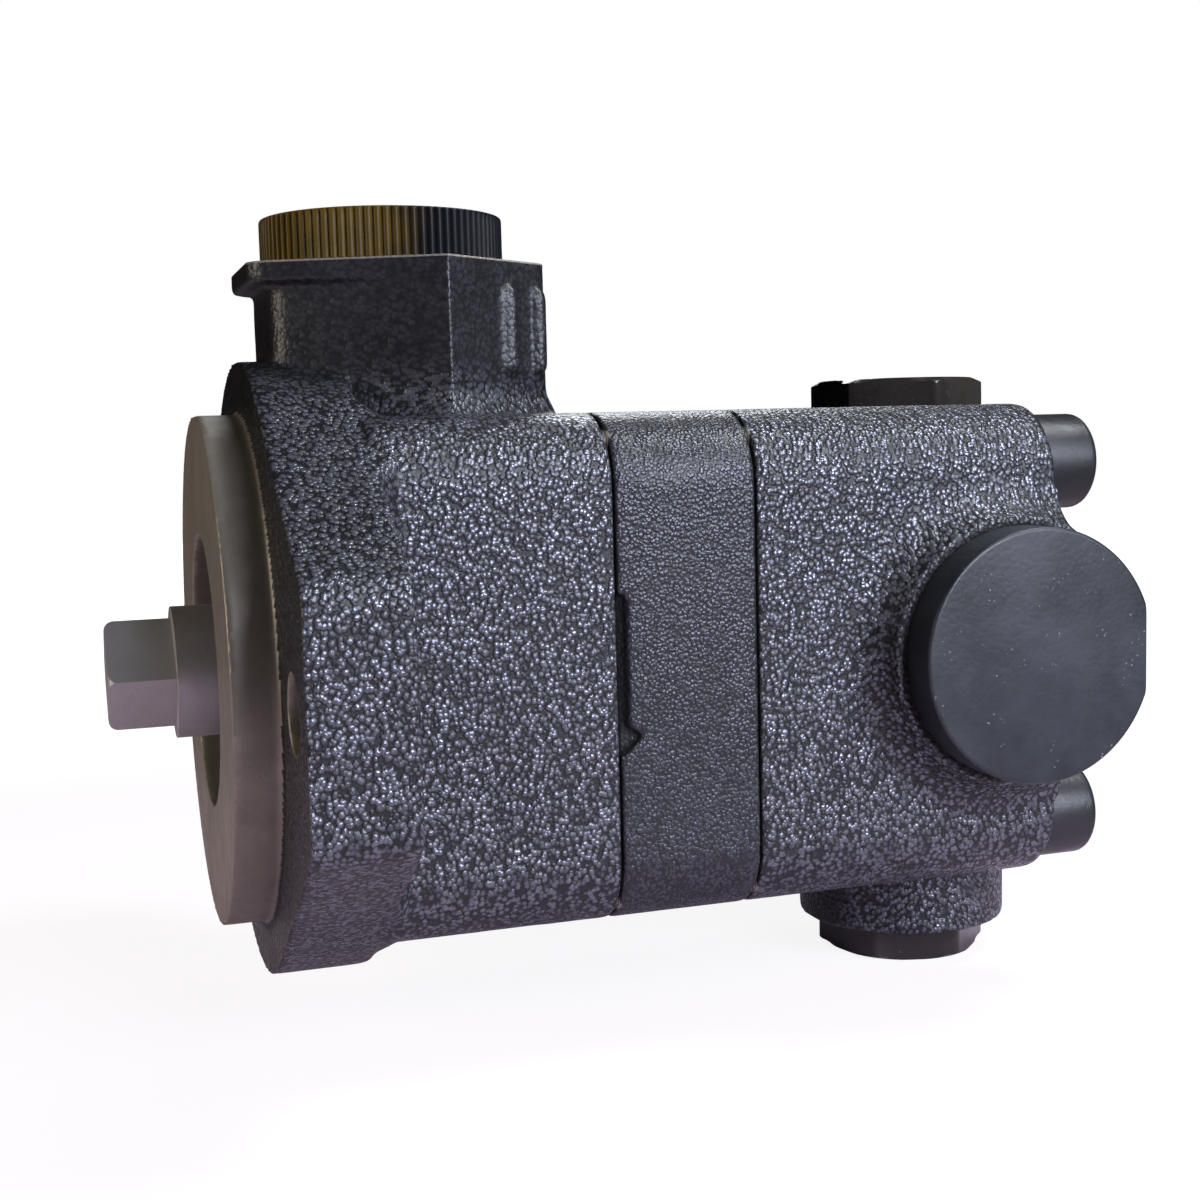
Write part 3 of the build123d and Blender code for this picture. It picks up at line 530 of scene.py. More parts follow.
@dataclass(frozen=True)
class CapFinish(Finish):
    """Knurled cap: painted olive reflection towards the drive end, blue-black towards the rear."""

    # Painted reflection: olive tint laid on the drive-end side of the black cap.
    painted_olive_reflection: Triple = (0.105, 0.064, 0.004)
    black: Triple = (0.007, 0.007, 0.009)
    drift: Span = (-0.004, 0.008)
    wander: float = 0.006
    wander_scale: float = 150.0
    cloud_share: float = 0.4
    cloud_size: float = 0.008
    roughness: float = 0.34
    smudge_rise: float = 0.15
    shine: float = 0.15

    def look(self, graph: Graph) -> Feeds:
        """Drift from a painted olive reflection to black across the cap, with a wandering border.

        Args:
            graph: Graph of the material.

        Returns:
            What goes into the shader.
        """
        low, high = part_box("inlet_cap")
        middle = (low.x + high.x) / 2
        wander = graph.product(graph.noise(graph.where(), self.wander_scale), self.wander)
        along = graph.maths("ADD", graph.axes()[0], wander)
        # Painted olive reflection towards the drive end, fading to the black plastic towards the rear.
        side = graph.span(along, *(middle + reach for reach in self.drift))
        patina = graph.effect(Effect.PATINA, Cloud_Size=self.cloud_size)
        clouds = graph.product(patina["Clouds"], self.cloud_share)
        rough = self.roughness
        return {
            "Base Color": graph.blend(clouds, graph.blend(side, self.painted_olive_reflection, self.black), self.black),
            "Roughness": graph.span(patina["Smudge"], 0.0, 1.0, rough, rough + self.smudge_rise),
            "Specular IOR Level": self.shine,
        }


def build_finishes() -> Finishes:
    """Build every finish of the pump.

    Returns:
        The materials by the record's material slots.
    """
    finishes = {
        "cast_iron_paint": CastFinish("body_casting_paint", smooth_above=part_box("cam_ring")[1].z),
        # The ring has finer grain with weaker painted glints.
        "ring_iron": CastFinish(
            "ring_paint", painted_glint_tone=(0.17, 0.175, 0.22), grain_size=0.0006, grain_depth=0.00011,
            painted_glint_share=0.3,
        ),
        "machined_iron": MetalFinish("machined_iron", (0.42, 0.38, 0.32), (0.22, 0.195, 0.16), metallic=0.55),
        "screw_steel": CoatFinish(
            "painted_screw", (0.012, 0.012, 0.014), (0.018, 0.018, 0.021), roughness=0.36,
        ),
        "plug_steel": CoatFinish(
            "painted_plug", (0.016, 0.013, 0.011), (0.03, 0.026, 0.022), roughness=0.26, coat=0.3,
        ),
        "ground_steel": MetalFinish("ground_steel", (0.62, 0.62, 0.64), roughness=0.25, dirt=0.1),
        "shaft_steel": MetalFinish(
            "shaft_steel", (0.68, 0.67, 0.665), (0.50, 0.485, 0.48), roughness=0.42, metallic=0.8,
        ),
        "spring_steel": MetalFinish("spring_steel", (0.3, 0.3, 0.32), (0.16, 0.16, 0.17), roughness=0.35),
        "bushing_bronze": MetalFinish("bushing_bronze", (0.5, 0.33, 0.16), (0.35, 0.22, 0.1)),
        "cage_steel": MetalFinish("cage_steel", (0.5, 0.46, 0.36), (0.3, 0.27, 0.2)),
        "seal_rubber": CoatFinish(
            "seal_rubber", (0.012, 0.012, 0.012), (0.02, 0.02, 0.02), roughness=0.6, wear=0.0,
        ),
        "cap_plastic": CapFinish("knurled_cap"),
        "outlet_plastic": CoatFinish(
            "outlet_cap_plastic", (0.010, 0.012, 0.015), (0.030, 0.034, 0.041), dust=0.9, wear=0.0,
        ),
    }
    return {slot: finish.material() for slot, finish in finishes.items()}


# ---- mesh building

def show(name: str, data: bpy.types.ID) -> Object:
    """Put a mesh, lamp or camera into the scene.

    Args:
        name: Name of its object.
        data: What the object shows.

    Returns:
        The linked object.
    """
    obj = bpy.data.objects.new(name, data)
    bpy.context.scene.collection.objects.link(obj)
    return obj


def settle(name: str, build: bmesh.types.BMesh) -> Object:
    """Turn a finished build into an object.

    Args:
        name: Name of the object and its mesh.
        build: The build, which is freed.

    Returns:
        The linked object.
    """
    mesh = bpy.data.meshes.new(name)
    build.to_mesh(mesh)
    build.free()
    return show(name, mesh)


def link_mesh(name: str, points: Array, faces: Sequence[Sequence[int]], sharp: float) -> Object:
    """Make a shaded object from points and faces.

    Args:
        name: Name of the piece.
        points: Vertex positions in metres.
        faces: Vertex indices of each face.
        sharp: Angle in degrees above which an edge is shaded sharp.

    Returns:
        The linked object.
    """
    raw = bpy.data.meshes.new(name)
    raw.from_pydata([tuple(p) for p in points], [], [tuple(f) for f in faces])
    build = bmesh.new()
    build.from_mesh(raw)
    bpy.data.meshes.remove(raw)
    bmesh.ops.remove_doubles(build, verts=build.verts, dist=1e-7)
    bmesh.ops.recalc_face_normals(build, faces=build.faces)
    for face in build.faces:
        face.smooth = True
    for edge in build.edges:
        if len(edge.link_faces) == 2 and edge.calc_face_angle() > math.radians(sharp):
            edge.smooth = False
    return settle(name, build)


def rounded(points: Profile, radii: Sequence[float], steps: int = 5) -> Profile:
    """Round the corners of a profile.

    Args:
        points: Corners as (height, radius) pairs.
        radii: Rounding radius of each corner.
        steps: Points added round each corner.

    Returns:
        The profile with its corners rounded.
    """
    corners = [np.array(p, float) for p in points]
    result: Profile = []
    for i, (corner, radius) in enumerate(zip(corners, radii)):
        if radius <= 0 or i in (0, len(corners) - 1):
            result.append(tuple(corner))
            continue
        before, after = corners[i - 1] - corner, corners[i + 1] - corner
        before_len, after_len = np.linalg.norm(before), np.linalg.norm(after)
        before, after = before / before_len, after / after_len
        half = math.acos(np.clip(before @ after, -1, 1)) / 2
        reach = min(radius / math.tan(half), 0.49 * before_len, 0.49 * after_len)
        start, end = corner + before * reach, corner + after * reach
        for step in range(steps + 1):
            t = step / steps
            result.append(tuple((1 - t) ** 2 * start + 2 * t * (1 - t) * corner + t ** 2 * end))
    return result


@dataclass
class Lathe:
    """A turned shape whose radius may be limited by flats, teeth or a hexagon.

    Heights run along the axis and all sizes are in millimetres.
    """

    name: str
    profile: Profile
    origin: Triple
    axis: Triple = (0.0, 0.0, 1.0)
    start: Triple = (1.0, 0.0, 0.0)
    around: int = 96
    limit: Limit | None = None
    sharp: float = 35.0

    def build(self) -> Object:
        """Turn the profile into a mesh.

        Returns:
            The linked object, in metres.
        """
        axis = np.array(Vector(self.axis).normalized())
        first = np.array(Vector(self.start).normalized())
        second = np.cross(axis, first)
        turn = np.linspace(0, TAU, self.around, endpoint=False)
        spoke = np.outer(np.cos(turn), first) + np.outer(np.sin(turn), second)
        rings = []
        for height, radius in self.profile:
            reach = np.full(self.around, float(radius))
            if self.limit is not None and radius > 0:
                reach = np.minimum(reach, self.limit(turn, height, radius))
            rings.append(np.array(self.origin) + axis * height + spoke * reach[:, None])
        count, last = self.around, (len(rings) - 1) * self.around
        faces = []
        for low in range(0, last, count):
            faces += [[low + i, low + (i + 1) % count, low + (i + 1) % count + count, low + i + count]
                      for i in range(count)]
        faces.append(list(range(count)))
        faces.append(list(range(last, last + count))[::-1])
        return link_mesh(self.name, np.vstack(rings) * MM, faces, self.sharp)


def hexagon_limit(inner_r: float, turned: float, crispness: float) -> Limit:
    """Limit a radius to a hexagon with slightly rounded corners.

    Args:
        inner_r: Distance from the centre to a flat.
        turned: Angle of the first flat's middle, in degrees.
        crispness: Higher values give sharper corners.

    Returns:
        A function of angle, height and radius.
    """
    def reach(turn: Array, height: float, radius: float) -> Array:
        """Measure the distance to the hexagon's edge.

        Args:
            turn: Angles round the axis.
            height: Height of the ring; not used.
            radius: Radius of the ring before the limit; not used.

        Returns:
            One distance for each angle.
        """
        total = np.zeros_like(turn)
        for k in range(6):
            lean = np.cos(turn - math.radians(turned) - TAU * k / 6)
            total += np.maximum(lean, 0.0) ** crispness
        return inner_r / total ** (1.0 / crispness)

    return reach


def rounded_bar(name: str, low: Vector, high: Vector, edge: float) -> Object:
    """Make a bar with rounded edges between two corners.

    Args:
        name: Name of the object.
        low: Lowest corner in metres.
        high: Highest corner in metres.
        edge: Radius of the edges in metres.

    Returns:
        The linked object.
    """
    build = bmesh.new()
    bmesh.ops.create_cube(build, size=1.0)
    bmesh.ops.scale(build, vec=high - low, verts=build.verts)
    bmesh.ops.translate(build, vec=(low + high) / 2, verts=build.verts)
    bmesh.ops.bevel(build, geom=build.edges[:], offset=edge, segments=3, profile=0.5, affect="EDGES")
    return settle(name, build)


def join_pieces(name: str, parts: Sequence[Object]) -> Object:
    """Join objects into one piece.

    Args:
        name: Name of the joined piece.
        parts: Objects to join.

    Returns:
        The joined object.
    """
    build = bmesh.new()
    for part in parts:
        build.from_mesh(part.data)
        bpy.data.objects.remove(part)
    return settle(name, build)


@dataclass
class Assembly:
    """A group of the pump's pieces and the finishes that dress them."""

    finishes: Finishes

    def dress(self, obj: Object, body: str, slot: str, *nodes: str) -> None:
        """Give a piece its finish, body, slot and the CAD nodes it stands for.

        Args:
            obj: The piece.
            body: CAD body that it rides on.
            slot: Material slot of the record.
            *nodes: CAD nodes that it replaces.
        """
        obj.data.materials.clear()
        obj.data.materials.append(self.finishes[slot])
        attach(obj, body)
        if nodes:
            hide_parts(*nodes)
        LOG.info("piece %s rides on %s", obj.name, body)


# ---- relief and masks

def lattice(cells: Array, seed: int) -> Array:
    """Make repeatable random numbers from 0 to 1.

    Args:
        cells: Whole-number cells, three numbers each.
        seed: Chooses the pattern.

    Returns:
        One number for each cell.
    """
    # Large odd multipliers spread neighbouring cells over the whole range.
    mixed = cells[..., 0] * 73856093 ^ cells[..., 1] * 19349663 ^ cells[..., 2] * 83492791 ^ seed * 2654435761
    mixed = (mixed ^ (mixed >> 13)) * 1274126177
    return ((mixed ^ (mixed >> 16)) & 0xFFFF) / 65535.0


def relief(points: Array, size: float, seed: int) -> Array:
    """Make smooth value noise from -1 to 1.

    Args:
        points: Positions in metres.
        size: Size of one bump in metres.
        seed: Chooses the pattern.

    Returns:
        One value for each point.
    """
    scaled = points / size
    base = np.floor(scaled).astype(np.int64)
    part = scaled - base
    part = part * part * (3 - 2 * part)
    total = np.zeros(len(points))
    for corner in range(8):
        step = np.array([corner & 1, corner >> 1 & 1, corner >> 2 & 1])
        weight = np.prod(np.where(step, part, 1 - part), axis=1)
        total += weight * lattice(base + step, seed)
    return total * 2 - 1


def off_axis(points: Array, place: Span = (0.0, 0.0), axes: tuple[int, int] = (1, 2)) -> Array:
    """Return how far points lie from a line across two axes, by default the shaft's."""
    return np.hypot(points[:, axes[0]] - place[0], points[:, axes[1]] - place[1])


def nowhere(points: Array) -> Array:
    """Return a mask of no points at all."""
    return np.zeros(len(points), bool)


def mount(name: str) -> dict[str, object]:
    """Return the record's entry of one mount."""
    return next(entry for entry in frame["record"]["mounts"] if entry["name"] == name)


def read_rows(elements: bpy.types.bpy_prop_collection, key: str) -> Array:
    """Read a vector of every vertex or face.

    Args:
        elements: Vertices or faces of a mesh.
        key: Name of the vector.

    Returns:
        One row for each element.
    """
    flat = np.empty(len(elements) * 3, np.float32)
    elements.foreach_get(key, flat)
    return flat.reshape(-1, 3).astype(float)


def move_points(mesh: bpy.types.Mesh, points: Array) -> None:
    """Move every vertex of a mesh to its new place."""
    mesh.vertices.foreach_set("co", points.astype(np.float32).ravel())
    mesh.update()


# ---- castings

@dataclass
class Casting(Assembly):
    """One cast housing piece, grown from its CAD solid with soft cast edges and a rolling skin."""

    node: str = ""
    slot: str = ""
    voxel: float = 0.0005
    rounding_passes: int = 7
    swell: float = 0.00010
    swell_size: float = 0.009
    swell_seed: int = 3
    ripple: float = 0.00004
    ripple_size: float = 0.0024
    ripple_seed: int = 11
    machined: Mask = nowhere
    flat: Mask = nowhere
    bore_reach: float = 0.0
    bore_room: float = 0.00015

    def build(self) -> None:
        """Remesh the solid, round its cast edges, give it relief and dress it."""
        mesh = self._even_mesh()
        points = read_rows(mesh.vertices, "co")
        loose = 1.0 - (self.machined(points) | self.flat(points)).astype(float)
        points = self._round_edges(mesh, points, loose)
        move_points(mesh, points)
        height = self.swell * relief(points, self.swell_size, self.swell_seed)
        height = height + self.ripple * relief(points, self.ripple_size, self.ripple_seed)
        points = points + read_rows(mesh.vertices, "normal") * (np.minimum(height, 0.0) * loose)[:, None]
        away = off_axis(points)
        inside = away < self.bore_reach
        points[inside, 1:] *= (1 + self.bore_room / away[inside])[:, None]
        move_points(mesh, points)
        mesh.shade_smooth()
        self.dress(show(f"{self.node}_casting", mesh), "housing", self.slot, self.node)
        mesh.materials.append(self.finishes["machined_iron"])
        bare = self.machined(read_rows(mesh.polygons, "center")).astype(np.int32)
        mesh.polygons.foreach_set("material_index", bare)
        mesh.update()

    def _even_mesh(self) -> bpy.types.Mesh:
        """Divide the CAD solid evenly.

        Returns:
            A closed mesh with faces of one size.
        """
        build = bmesh.new()
        build.from_mesh(frame["nodes"][self.node].data)
        bmesh.ops.remove_doubles(build, verts=build.verts, dist=1e-6)
        blank = settle(f"{self.node}_blank", build)
        remesh = blank.modifiers.new("even", "REMESH")
        remesh.mode = "VOXEL"
        remesh.voxel_size = self.voxel
        view = bpy.context.evaluated_depsgraph_get()
        even = bpy.data.meshes.new_from_object(blank.evaluated_get(view))
        bpy.data.meshes.remove(blank.data)
        even.name = f"{self.node}_casting"
        return even

    def _round_edges(self, mesh: bpy.types.Mesh, points: Array, loose: Array) -> Array:
        """Relax the mesh so that cast edges soften and machined ones stay.

        Args:
            mesh: The even mesh.
            points: Its vertices in metres.
            loose: How freely each vertex moves, from 0 to 1.

        Returns:
            The moved vertices.
        """
        edges = np.empty(len(mesh.edges) * 2, np.int64)
        mesh.edges.foreach_get("vertices", edges)
        one, two = edges.reshape(-1, 2).T
        count = len(points)
        degree = np.bincount(one, minlength=count) + np.bincount(two, minlength=count)
        for _ in range(self.rounding_passes):
            mean = np.empty_like(points)
            for axis in range(3):
                total = np.bincount(one, points[two, axis], count)
                total = total + np.bincount(two, points[one, axis], count)
                mean[:, axis] = total / degree
            points = points + (mean - points) * (0.5 * loose)[:, None]
        return points


@dataclass
class Housing(Assembly):
    """The three castings with their machined faces."""

    skin: float = 0.0004
    joint_edge: float = 0.003
    port_r: float = 0.0178
    port_floor: float = 0.042
    bearing_floor: float = 0.03
    track_reach: float = 0.031
    chamber_half: float = 0.0315
    chamber_depth: float = 0.02
    outlet_bore_r: float = 0.0129
    outlet_seat_r: float = 0.0180
    outlet_floor: float = 0.020

    def build(self) -> None:
        """Build body, ring and cover."""
        castings = (
            Casting(
                self.finishes, "front_body", "cast_iron_paint", machined=self._body_machined,
                flat=self._flange_face,
            ),
            Casting(
                self.finishes, "cam_ring", "ring_iron", rounding_passes=4, swell=0.00004, ripple=0.00002,
                machined=self._ring_machined, bore_reach=self.track_reach,
            ),
            Casting(self.finishes, "rear_cover", "cast_iron_paint", machined=self._cover_machined),
        )
        for casting in castings:
            casting.build()

    def _body_machined(self, points: Array) -> Array:
        """Pick out the body's pilot, bores, bolt holes, port face and joint face.

        Args:
            points: Positions in metres.

        Returns:
            A mask of the points on them.
        """
        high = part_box("front_body")[1]
        bolts = mount("mounting_bolts")["dims"]
        span = bolts["spacing_x_mm"] * MM / 2
        hole_r = bolts["hole_r_mm"] * MM + self.skin
        port_x = mount("inlet_port")["pos_m"][0]
        bearing_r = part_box("bearing_outer_race")[1].y + self.skin
        pilot_r = mount("pilot")["dims"]["r_mm"] * MM + self.skin
        front = self._flange_face(points) & (off_axis(points) < pilot_r)
        bores = (off_axis(points) < bearing_r) & (points[:, 0] < self.bearing_floor)
        holes = np.minimum(off_axis(points, (span, 0)), off_axis(points, (-span, 0))) < hole_r
        in_port = (off_axis(points, (port_x, 0), (0, 1)) < self.port_r) & (points[:, 2] > self.port_floor)
        port = (points[:, 2] > high.z - self.skin) | in_port
        joint = (points[:, 0] > high.x - self.skin) & self._within_section(points)
        return front | bores | holes | port | joint

    def _flange_face(self, points: Array) -> Array:
        """Return a mask of the flat front of the flange, painted outside the pilot."""
        return points[:, 0] < self.skin

    def _within_section(self, points: Array) -> Array:
        """Return a mask of points clear of the outer skin of the square section."""
        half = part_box("cam_ring")[1].y - self.joint_edge
        return (np.abs(points[:, 1]) < half) & (np.abs(points[:, 2]) < half)

    def _ring_machined(self, points: Array) -> Array:
        """Pick out the ring's ground faces and cam track.

        Args:
            points: Positions in metres.

        Returns:
            A mask of the points on them.
        """
        low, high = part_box("cam_ring")
        ends = (points[:, 0] < low.x + self.skin) | (points[:, 0] > high.x - self.skin)
        return (ends & self._within_section(points)) | (off_axis(points) < self.track_reach)

    def _cover_machined(self, points: Array) -> Array:
        """Pick out the cover's joint face, pressure chamber and outlet port.

        Args:
            points: Positions in metres.

        Returns:
            A mask of the points on them.
        """
        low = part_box("rear_cover")[0]
        joint = (points[:, 0] < low.x + self.skin) & self._within_section(points)
        sides = np.abs(points[:, 1:]).max(axis=1)
        chamber = (sides < self.chamber_half) & (points[:, 0] < low.x + self.chamber_depth)
        from_port = off_axis(points, (mount("outlet_port")["pos_m"][0], 0), (0, 2))
        bore = (from_port < self.outlet_bore_r) & (points[:, 1] < -self.outlet_floor)
        seat = (from_port < self.outlet_seat_r) & (points[:, 1] < low.y + self.skin)
        return joint | chamber | bore | seat


# ---- turned and moulded pieces

@dataclass
class PortCaps(Assembly):
    """The knurled inlet cap and the smooth outlet cap, sized in millimetres."""

    teeth: int = 86
    tooth_steps: int = 10
    tooth_depth: float = 0.55
    tooth_shape: float = 0.8
    tooth_fade: float = 0.6
    tooth_at_top: float = 0.25
    wall_rings: int = 8
    inlet_edge: float = 0.5
    inlet_sharp: float = 50.0
    wall: float = 1.8
    spigot_len: float = 4.0
    spigot_inset: float = 0.4
    spigot_wall: float = 1.6
    recess: float = 3.2
    grip: float = 3.0
    grip_sink: float = 0.3
    outlet_edge: float = 0.7
    outlet_spigot_r: float = 12.3
    outlet_height: float = 7.0
    outlet_steps: int = 240
    flat_lean: float = 0.2

    def build(self) -> None:
        """Build both caps."""
        self._inlet()
        self._outlet()

    def _inlet(self) -> None:
        """Build the knurled cap with its sunk top and grip bar."""
        low, high = (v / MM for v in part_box("inlet_cap"))
        radius = (high.y - low.y) / 2
        base, top = low.z + self.spigot_len, high.z
        sunk = top - self.recess
        inner = radius - self.tooth_depth - self.wall
        spigot = inner - self.spigot_inset
        profile = self._dense(rounded(
            [(low.z, spigot - self.spigot_wall), (low.z, spigot), (base, spigot), (base, radius),
             (top, radius), (top, inner), (sunk, inner), (sunk, ON_AXIS)],
            [0, 0.4, 0.1, 0.25, self.inlet_edge, 0.3, 0.5, 0],
        ), radius)

        def tooth(turn: Array, height: float, reach: float) -> Array:
            """Cut the teeth, which fade out at the top edge.

            Args:
                turn: Angles round the axis.
                height: Height of the ring.
                reach: Radius of the ring before the limit; not used.

            Returns:
                The tooth outline's radius at each angle.
            """
            wave = np.abs(np.sin(turn * self.teeth / 2)) ** self.tooth_shape
            fade = min(1.0, max(0.0, (top - height) / self.tooth_fade + self.tooth_at_top))
            return radius - self.tooth_depth * fade * (1 - wave)

        middle = (low.x + high.x) / 2
        shell = Lathe(
            "inlet_cap_shell", profile, (middle, 0, 0), around=self.teeth * self.tooth_steps, limit=tooth,
            sharp=self.inlet_sharp,
        ).build()
        reach = inner + self.wall / 4
        bar = rounded_bar(
            "inlet_cap_bar", Vector((middle - reach, -self.grip / 2, sunk - self.wall / 2)) * MM,
            Vector((middle + reach, self.grip / 2, top - self.grip_sink)) * MM, self.inlet_edge * MM,
        )
        self.dress(join_pieces("inlet_port_cap", [shell, bar]), "inlet_cap", "cap_plastic", "inlet_cap")

    def _dense(self, profile: Profile, radius: float) -> Profile:
        """Add rings along the knurled wall so that the teeth keep their shape.

        Args:
            profile: The rounded profile.
            radius: Radius of the wall.

        Returns:
            The profile with the rings added.
        """
        near, long, count = 0.3, 2, self.wall_rings
        result: Profile = []
        for here, after in zip(profile, profile[1:] + profile[-1:]):
            result.append(here)
            rise = after[0] - here[0]
            if max(abs(here[1] - radius), abs(after[1] - radius)) < near and rise > long:
                result += [(here[0] + rise * step / count, radius) for step in range(1, count)]
        return result

    def _outlet(self) -> None:
        """Build the smooth disc cap with its one flat."""
        low, high = (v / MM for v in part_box("outlet_cap"))
        radius = (high.z - low.z) / 2
        centre_x = low.x + radius
        face, foot = -low.y, -high.y
        back = face - self.outlet_height
        spigot = self.outlet_spigot_r
        profile = rounded(
            [(foot, ON_AXIS), (foot, spigot), (back, spigot), (back, radius), (face, radius),
             (face, ON_AXIS)],
            [0, 0.4, 0.1, 0.3, self.outlet_edge, 0], steps=6,
        )

        def one_flat(turn: Array, height: float, reach: float) -> Array:
            """Measure the distance to the flat on the +X side.

            Args:
                turn: Angles round the axis.
                height: Height of the ring; not used.
                reach: Radius of the ring before the limit; not used.

            Returns:
                One distance for each angle.
            """
            lean = np.cos(turn)
            edge = (high.x - centre_x) / np.maximum(lean, self.flat_lean)
            return np.where(lean > self.flat_lean, edge, UNLIMITED)

        cap = Lathe(
            "outlet_port_cap", profile, (centre_x, 0, 0), axis=(0, -1, 0), around=self.outlet_steps,
            limit=one_flat,
        ).build()
        self.dress(cap, "outlet_cap", "outlet_plastic", "outlet_cap")


@dataclass
class Fasteners(Assembly):
    """Valve plugs and cover screws, sized in millimetres and degrees."""

    plug_af: float = 27.0
    plug_head: float = 6.2
    plug_crown: float = 1.0
    plug_thread_r: float = 12.0
    plug_steps: int = 192
    plug_crispness: float = 90.0
    bottom_plug_turn: float = 46.0
    head_edge: float = 0.9
    screw_r: float = 5.0
    screw_head_r: float = 8.0
    screw_head: float = 10.0
    screw_edge: float = 1.3
    screw_steps: int = 72
    socket_af: float = 8.0
    socket_depth: float = 5.0
    socket_rim: float = 1.2
    socket_lead: float = 0.9
    socket_turn: float = 12.0
    socket_crispness: float = 60.0
    socket_reach: float = 1.17

    def build(self) -> None:
        """Build the plugs and the screws."""
        self._plug("top_valve_plug", 1, 0.0)
        self._plug("bottom_valve_plug", -1, self.bottom_plug_turn)
        self._screws()

    def _plug(self, node: str, way: int, turned: float) -> None:
        """Build one hexagon-head plug.

        Args:
            node: CAD node that it replaces.
            way: 1 when the head points up, -1 when it points down.
            turned: Turn of the hexagon in degrees.
        """
        low, high = (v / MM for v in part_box(node))
        inner, outer = (low.z, high.z) if way > 0 else (-high.z, -low.z)
        seat = outer - self.plug_head
        corner = self.plug_af / math.sqrt(3)
        thread = self.plug_thread_r
        profile = rounded(
            [(inner, ON_AXIS), (inner, thread), (seat, thread), (seat, corner),
             (outer - self.head_edge, corner), (outer, corner - self.plug_crown - self.head_edge),
             (outer, ON_AXIS)],
            [0, 0.5, 0, 0.3, 0.7, 0.7, 0], steps=4,
        )
        plug = Lathe(
            f"{node}_head", profile, ((low.x + high.x) / 2, 0, 0), axis=(0, 0, way), around=self.plug_steps,
            limit=hexagon_limit(self.plug_af / 2, turned, self.plug_crispness),
        ).build()
        self.dress(plug, "housing", "plug_steel", node)

    def _screws(self) -> None:
        """Build the four socket-head screws as one piece."""
        low, high = (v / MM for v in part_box("cover_screws"))
        offset = high.y - self.screw_head_r
        end = high.x
        head, depth = end - self.screw_head, end - self.socket_depth
        socket_r = self.socket_af / 2
        corner = socket_r * HEX_CORNER
        profile = rounded(
            [(low.x, ON_AXIS), (low.x, self.screw_r), (head, self.screw_r), (head, self.screw_head_r),
             (end, self.screw_head_r), (end, socket_r + self.socket_rim), (end - self.socket_lead, corner),
             (depth, corner), (depth, ON_AXIS)],
            [0, 0.6, 0, 0.3, self.screw_edge, 0.2, 0.1, 0.2, 0],
        )
        hexagon = hexagon_limit(socket_r, self.socket_turn, self.socket_crispness)

        def socket(turn: Array, height: float, reach: float) -> Array:
            """Return the hexagon inside the socket, and no limit elsewhere."""
            inside = height > depth - ON_AXIS and reach < socket_r * self.socket_reach
            return hexagon(turn, height, reach) if inside else np.full_like(turn, UNLIMITED)

        corners = [(y, z) for y in (-offset, offset) for z in (-offset, offset)]
        parts = [
            Lathe(
                f"cover_screw_{i}", profile, (0, y, z), axis=(1, 0, 0), start=(0, 1, 0),
                around=self.screw_steps, limit=socket,
            ).build() for i, (y, z) in enumerate(corners)
        ]
        self.dress(join_pieces("cover_screw_set", parts), "housing", "screw_steel", "cover_screws")


@dataclass
class Springs(Assembly):
    """Coil springs that a joint presses, copied from their CAD nodes."""

    slot: str = "spring_steel"

    def build(self) -> None:
        """Build every spring that the record says a joint presses."""
        for joint in frame["record"]["behaviour"]["joints"]:
            for pressed in joint.get("deforming_nodes", []):
                self._coil(pressed["node"], pressed["fixed_end_z_m"], joint)

    def _coil(self, node: str, fixed: float, joint: dict[str, object]) -> None:
        """Build one spring as a copy of its CAD node, on the body that it rides with.

        Args:
            node: CAD node of the spring.
            fixed: Height of the end that stays, in metres; not used.
            joint: The joint that presses it; not used.
        """
        bodies = frame["record"]["behaviour"]["bodies"]
        body = next(name for name, nodes in bodies.items() if node in nodes)
        coil = show(f"{node}_coil", frame["nodes"][node].data.copy())
        self.dress(coil, body, self.slot, node)
        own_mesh(coil)


@dataclass
class CadPieces(Assembly):
    """CAD nodes that keep their shape and get a finish."""

    shaft_edge: float = 0.00025
    shaft_edge_angle: float = 40.0

    def build(self) -> None:
        """Give each CAD node the material of its slot, and break the shaft's edges."""
        for part in frame["record"]["subparts"]:
            node = frame["nodes"][part["node"]]
            node.data.materials.clear()
            node.data.materials.append(self.finishes[part["material_slot"]])
        soften = frame["nodes"]["drive_shaft"].modifiers.new("broken_edges", "BEVEL")
        soften.width = self.shaft_edge
        soften.segments = 2
        soften.angle_limit = math.radians(self.shaft_edge_angle)


# ---- studio

@dataclass(frozen=True)
class Softbox:
    """One rectangular area lamp aimed at a point, in metres and watts."""

    name: str
    place: Triple
    aim: Triple
    wide: float
    tall: float
    power: float
    colour: Triple

    def build(self) -> None:
        """Hang the lamp and aim it."""
        lamp = bpy.data.lights.new(self.name, "AREA")
        lamp.shape = "RECTANGLE"
        lamp.size, lamp.size_y = self.wide, self.tall
        lamp.energy = self.power
        lamp.color = self.colour
        obj = show(self.name, lamp)
        obj.location = self.place
        obj.rotation_euler = (Vector(self.aim) - Vector(self.place)).to_track_quat("-Z", "Y").to_euler()


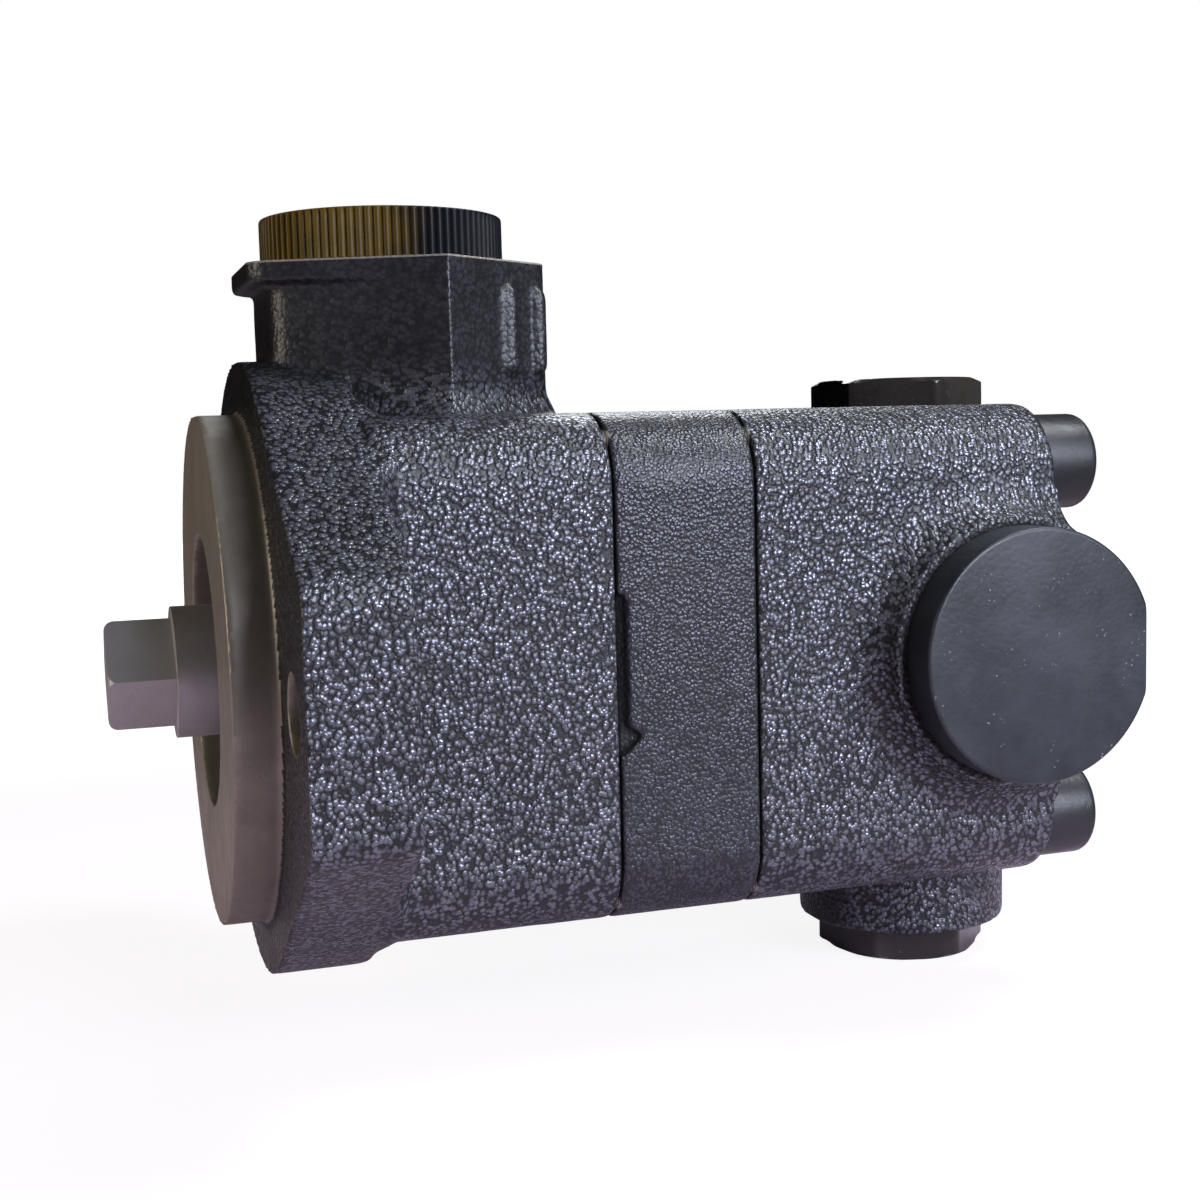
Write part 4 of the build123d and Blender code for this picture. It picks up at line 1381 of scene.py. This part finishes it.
@dataclass
class Studio:
    """Pale floor, soft light and the camera."""

    eye: Triple = (-0.02907, -0.2762, 0.03596)
    yaw: float = 18.09
    pitch: float = -5.56
    roll: float = -1.53
    lens: float = 49.85
    sensor: float = 36.0
    floor_size: float = 3.0
    floor_roughness: float = 0.9
    floor_tint: Triple = (0.66, 0.52, 0.62)
    floor_far: Triple = (0.10, 0.10, 0.10)
    tint_fade: Span = (0.14, 0.34)
    glow: float = 1.25
    glow_share: float = 0.7
    glow_fade: Span = (0.18, 0.42)
    side_heading: Span = (-0.5, 0.8)
    side_light: Span = (0.02, 0.17)
    front_heading: Span = (-0.3, 0.3)
    front_light: Span = (1.0, 0.05)
    lamps: tuple[Softbox, ...] = (
        Softbox("overhead_softbox", (0.36, -0.12, 0.55), (0.07, -0.02, 0), 0.22, 0.18, 2.6, (0.9, 0.94, 1.0)),
        Softbox("front_softbox", (0.34, -0.66, 0.26), (0.07, 0, 0), 0.45, 0.34, 7.4, (0.80, 0.84, 1.0)),
        Softbox("back_fill", (0.25, 0.60, 0.45), (0.07, 0, 0), 0.30, 0.30, 2.0, (0.92, 0.95, 1.0)),
        Softbox("drive_end_panel", (-0.50, -0.03, 0.14), (0, 0, 0), 0.2, 0.2, 1.0, (1.0, 0.90, 0.76)),
    )

    def build(self) -> None:
        """Set up floor, light, world and camera."""
        self._floor()
        self._world()
        for lamp in self.lamps:
            lamp.build()
        self._camera()
        bpy.context.scene.view_settings.view_transform = "Standard"

    def _floor(self) -> None:
        """Lay a plain pale floor that fades into the white background."""
        low = Vector(CAD_BOX[0])
        half = self.floor_size / 2
        corners = np.array([(x * half, y * half, low.z) for x, y in ((-1, -1), (1, -1), (1, 1), (-1, 1))])
        floor = link_mesh("floor", corners, [[0, 1, 2, 3]], 0.0)
        material, graph, shader = blank_material("floor_white")
        away = graph.add("ShaderNodeVectorMath", {0: graph.where()}, operation="LENGTH").outputs["Value"]
        far = graph.span(away, *self.tint_fade)
        graph.feed(shader.inputs["Roughness"], self.floor_roughness)
        graph.feed(shader.inputs["Base Color"], graph.blend(far, self.floor_tint, self.floor_far))
        seen = graph.add("ShaderNodeLightPath").outputs["Is Camera Ray"]
        share = graph.product(seen, graph.span(away, *self.glow_fade, self.glow_share))
        glow = graph.add("ShaderNodeEmission", {"Strength": self.glow})
        mix = graph.add("ShaderNodeMixShader", {0: share, 1: shader.outputs[0], 2: glow.outputs[0]})
        graph.feed(material.node_tree.nodes["Material Output"].inputs[0], mix.outputs[0])
        floor.data.materials.append(material)

    def _world(self) -> None:
        """Make the world white to the camera, and dim with a darker side at the drive end."""
        world = bpy.data.worlds.new("studio")
        bpy.context.scene.world = world
        world.use_nodes = True
        graph = Graph(world.node_tree)
        along, across, _ = graph.axes("Generated")
        side = graph.span(along, *self.side_heading, *self.side_light)
        front = graph.span(across, *self.front_heading, *self.front_light)
        seen = graph.add("ShaderNodeLightPath").outputs["Is Camera Ray"]
        background = world.node_tree.nodes["Background"]
        graph.feed(background.inputs["Strength"], graph.maths("MAXIMUM", graph.product(side, front), seen))
        graph.feed(background.inputs["Color"], (1.0, 1.0, 1.0))

    def _camera(self) -> None:
        """Set up the camera, with its heading given by yaw, pitch and roll."""
        yaw, pitch, roll = (math.radians(a) for a in (self.yaw, self.pitch, self.roll))
        ahead = Vector((math.sin(yaw) * math.cos(pitch), math.cos(yaw) * math.cos(pitch), math.sin(pitch)))
        right = Vector((math.cos(yaw), -math.sin(yaw), 0))
        up = right.cross(ahead)
        across = right * math.cos(roll) + up * math.sin(roll)
        upright = up * math.cos(roll) - right * math.sin(roll)
        data = bpy.data.cameras.new("camera")
        data.lens, data.sensor_width = self.lens, self.sensor
        data.clip_start = 0.01
        camera = show("camera", data)
        turn = Matrix((across, upright, -ahead)).transposed().to_4x4()
        camera.matrix_world = Matrix.Translation(self.eye) @ turn
        bpy.context.scene.camera = camera


def main() -> None:
    """Build the studio, then every piece of the pump."""
    logging.basicConfig(level=logging.INFO, format="%(name)s: %(message)s")
    Studio().build()
    for effect in (CastGrain, EdgeWear, Turning, Patina):
        effect().build()
    finishes = build_finishes()
    for assembly in (CadPieces, Housing, PortCaps, Fasteners, Springs):
        assembly(finishes).build()


if __name__ == "__main__":
    main()
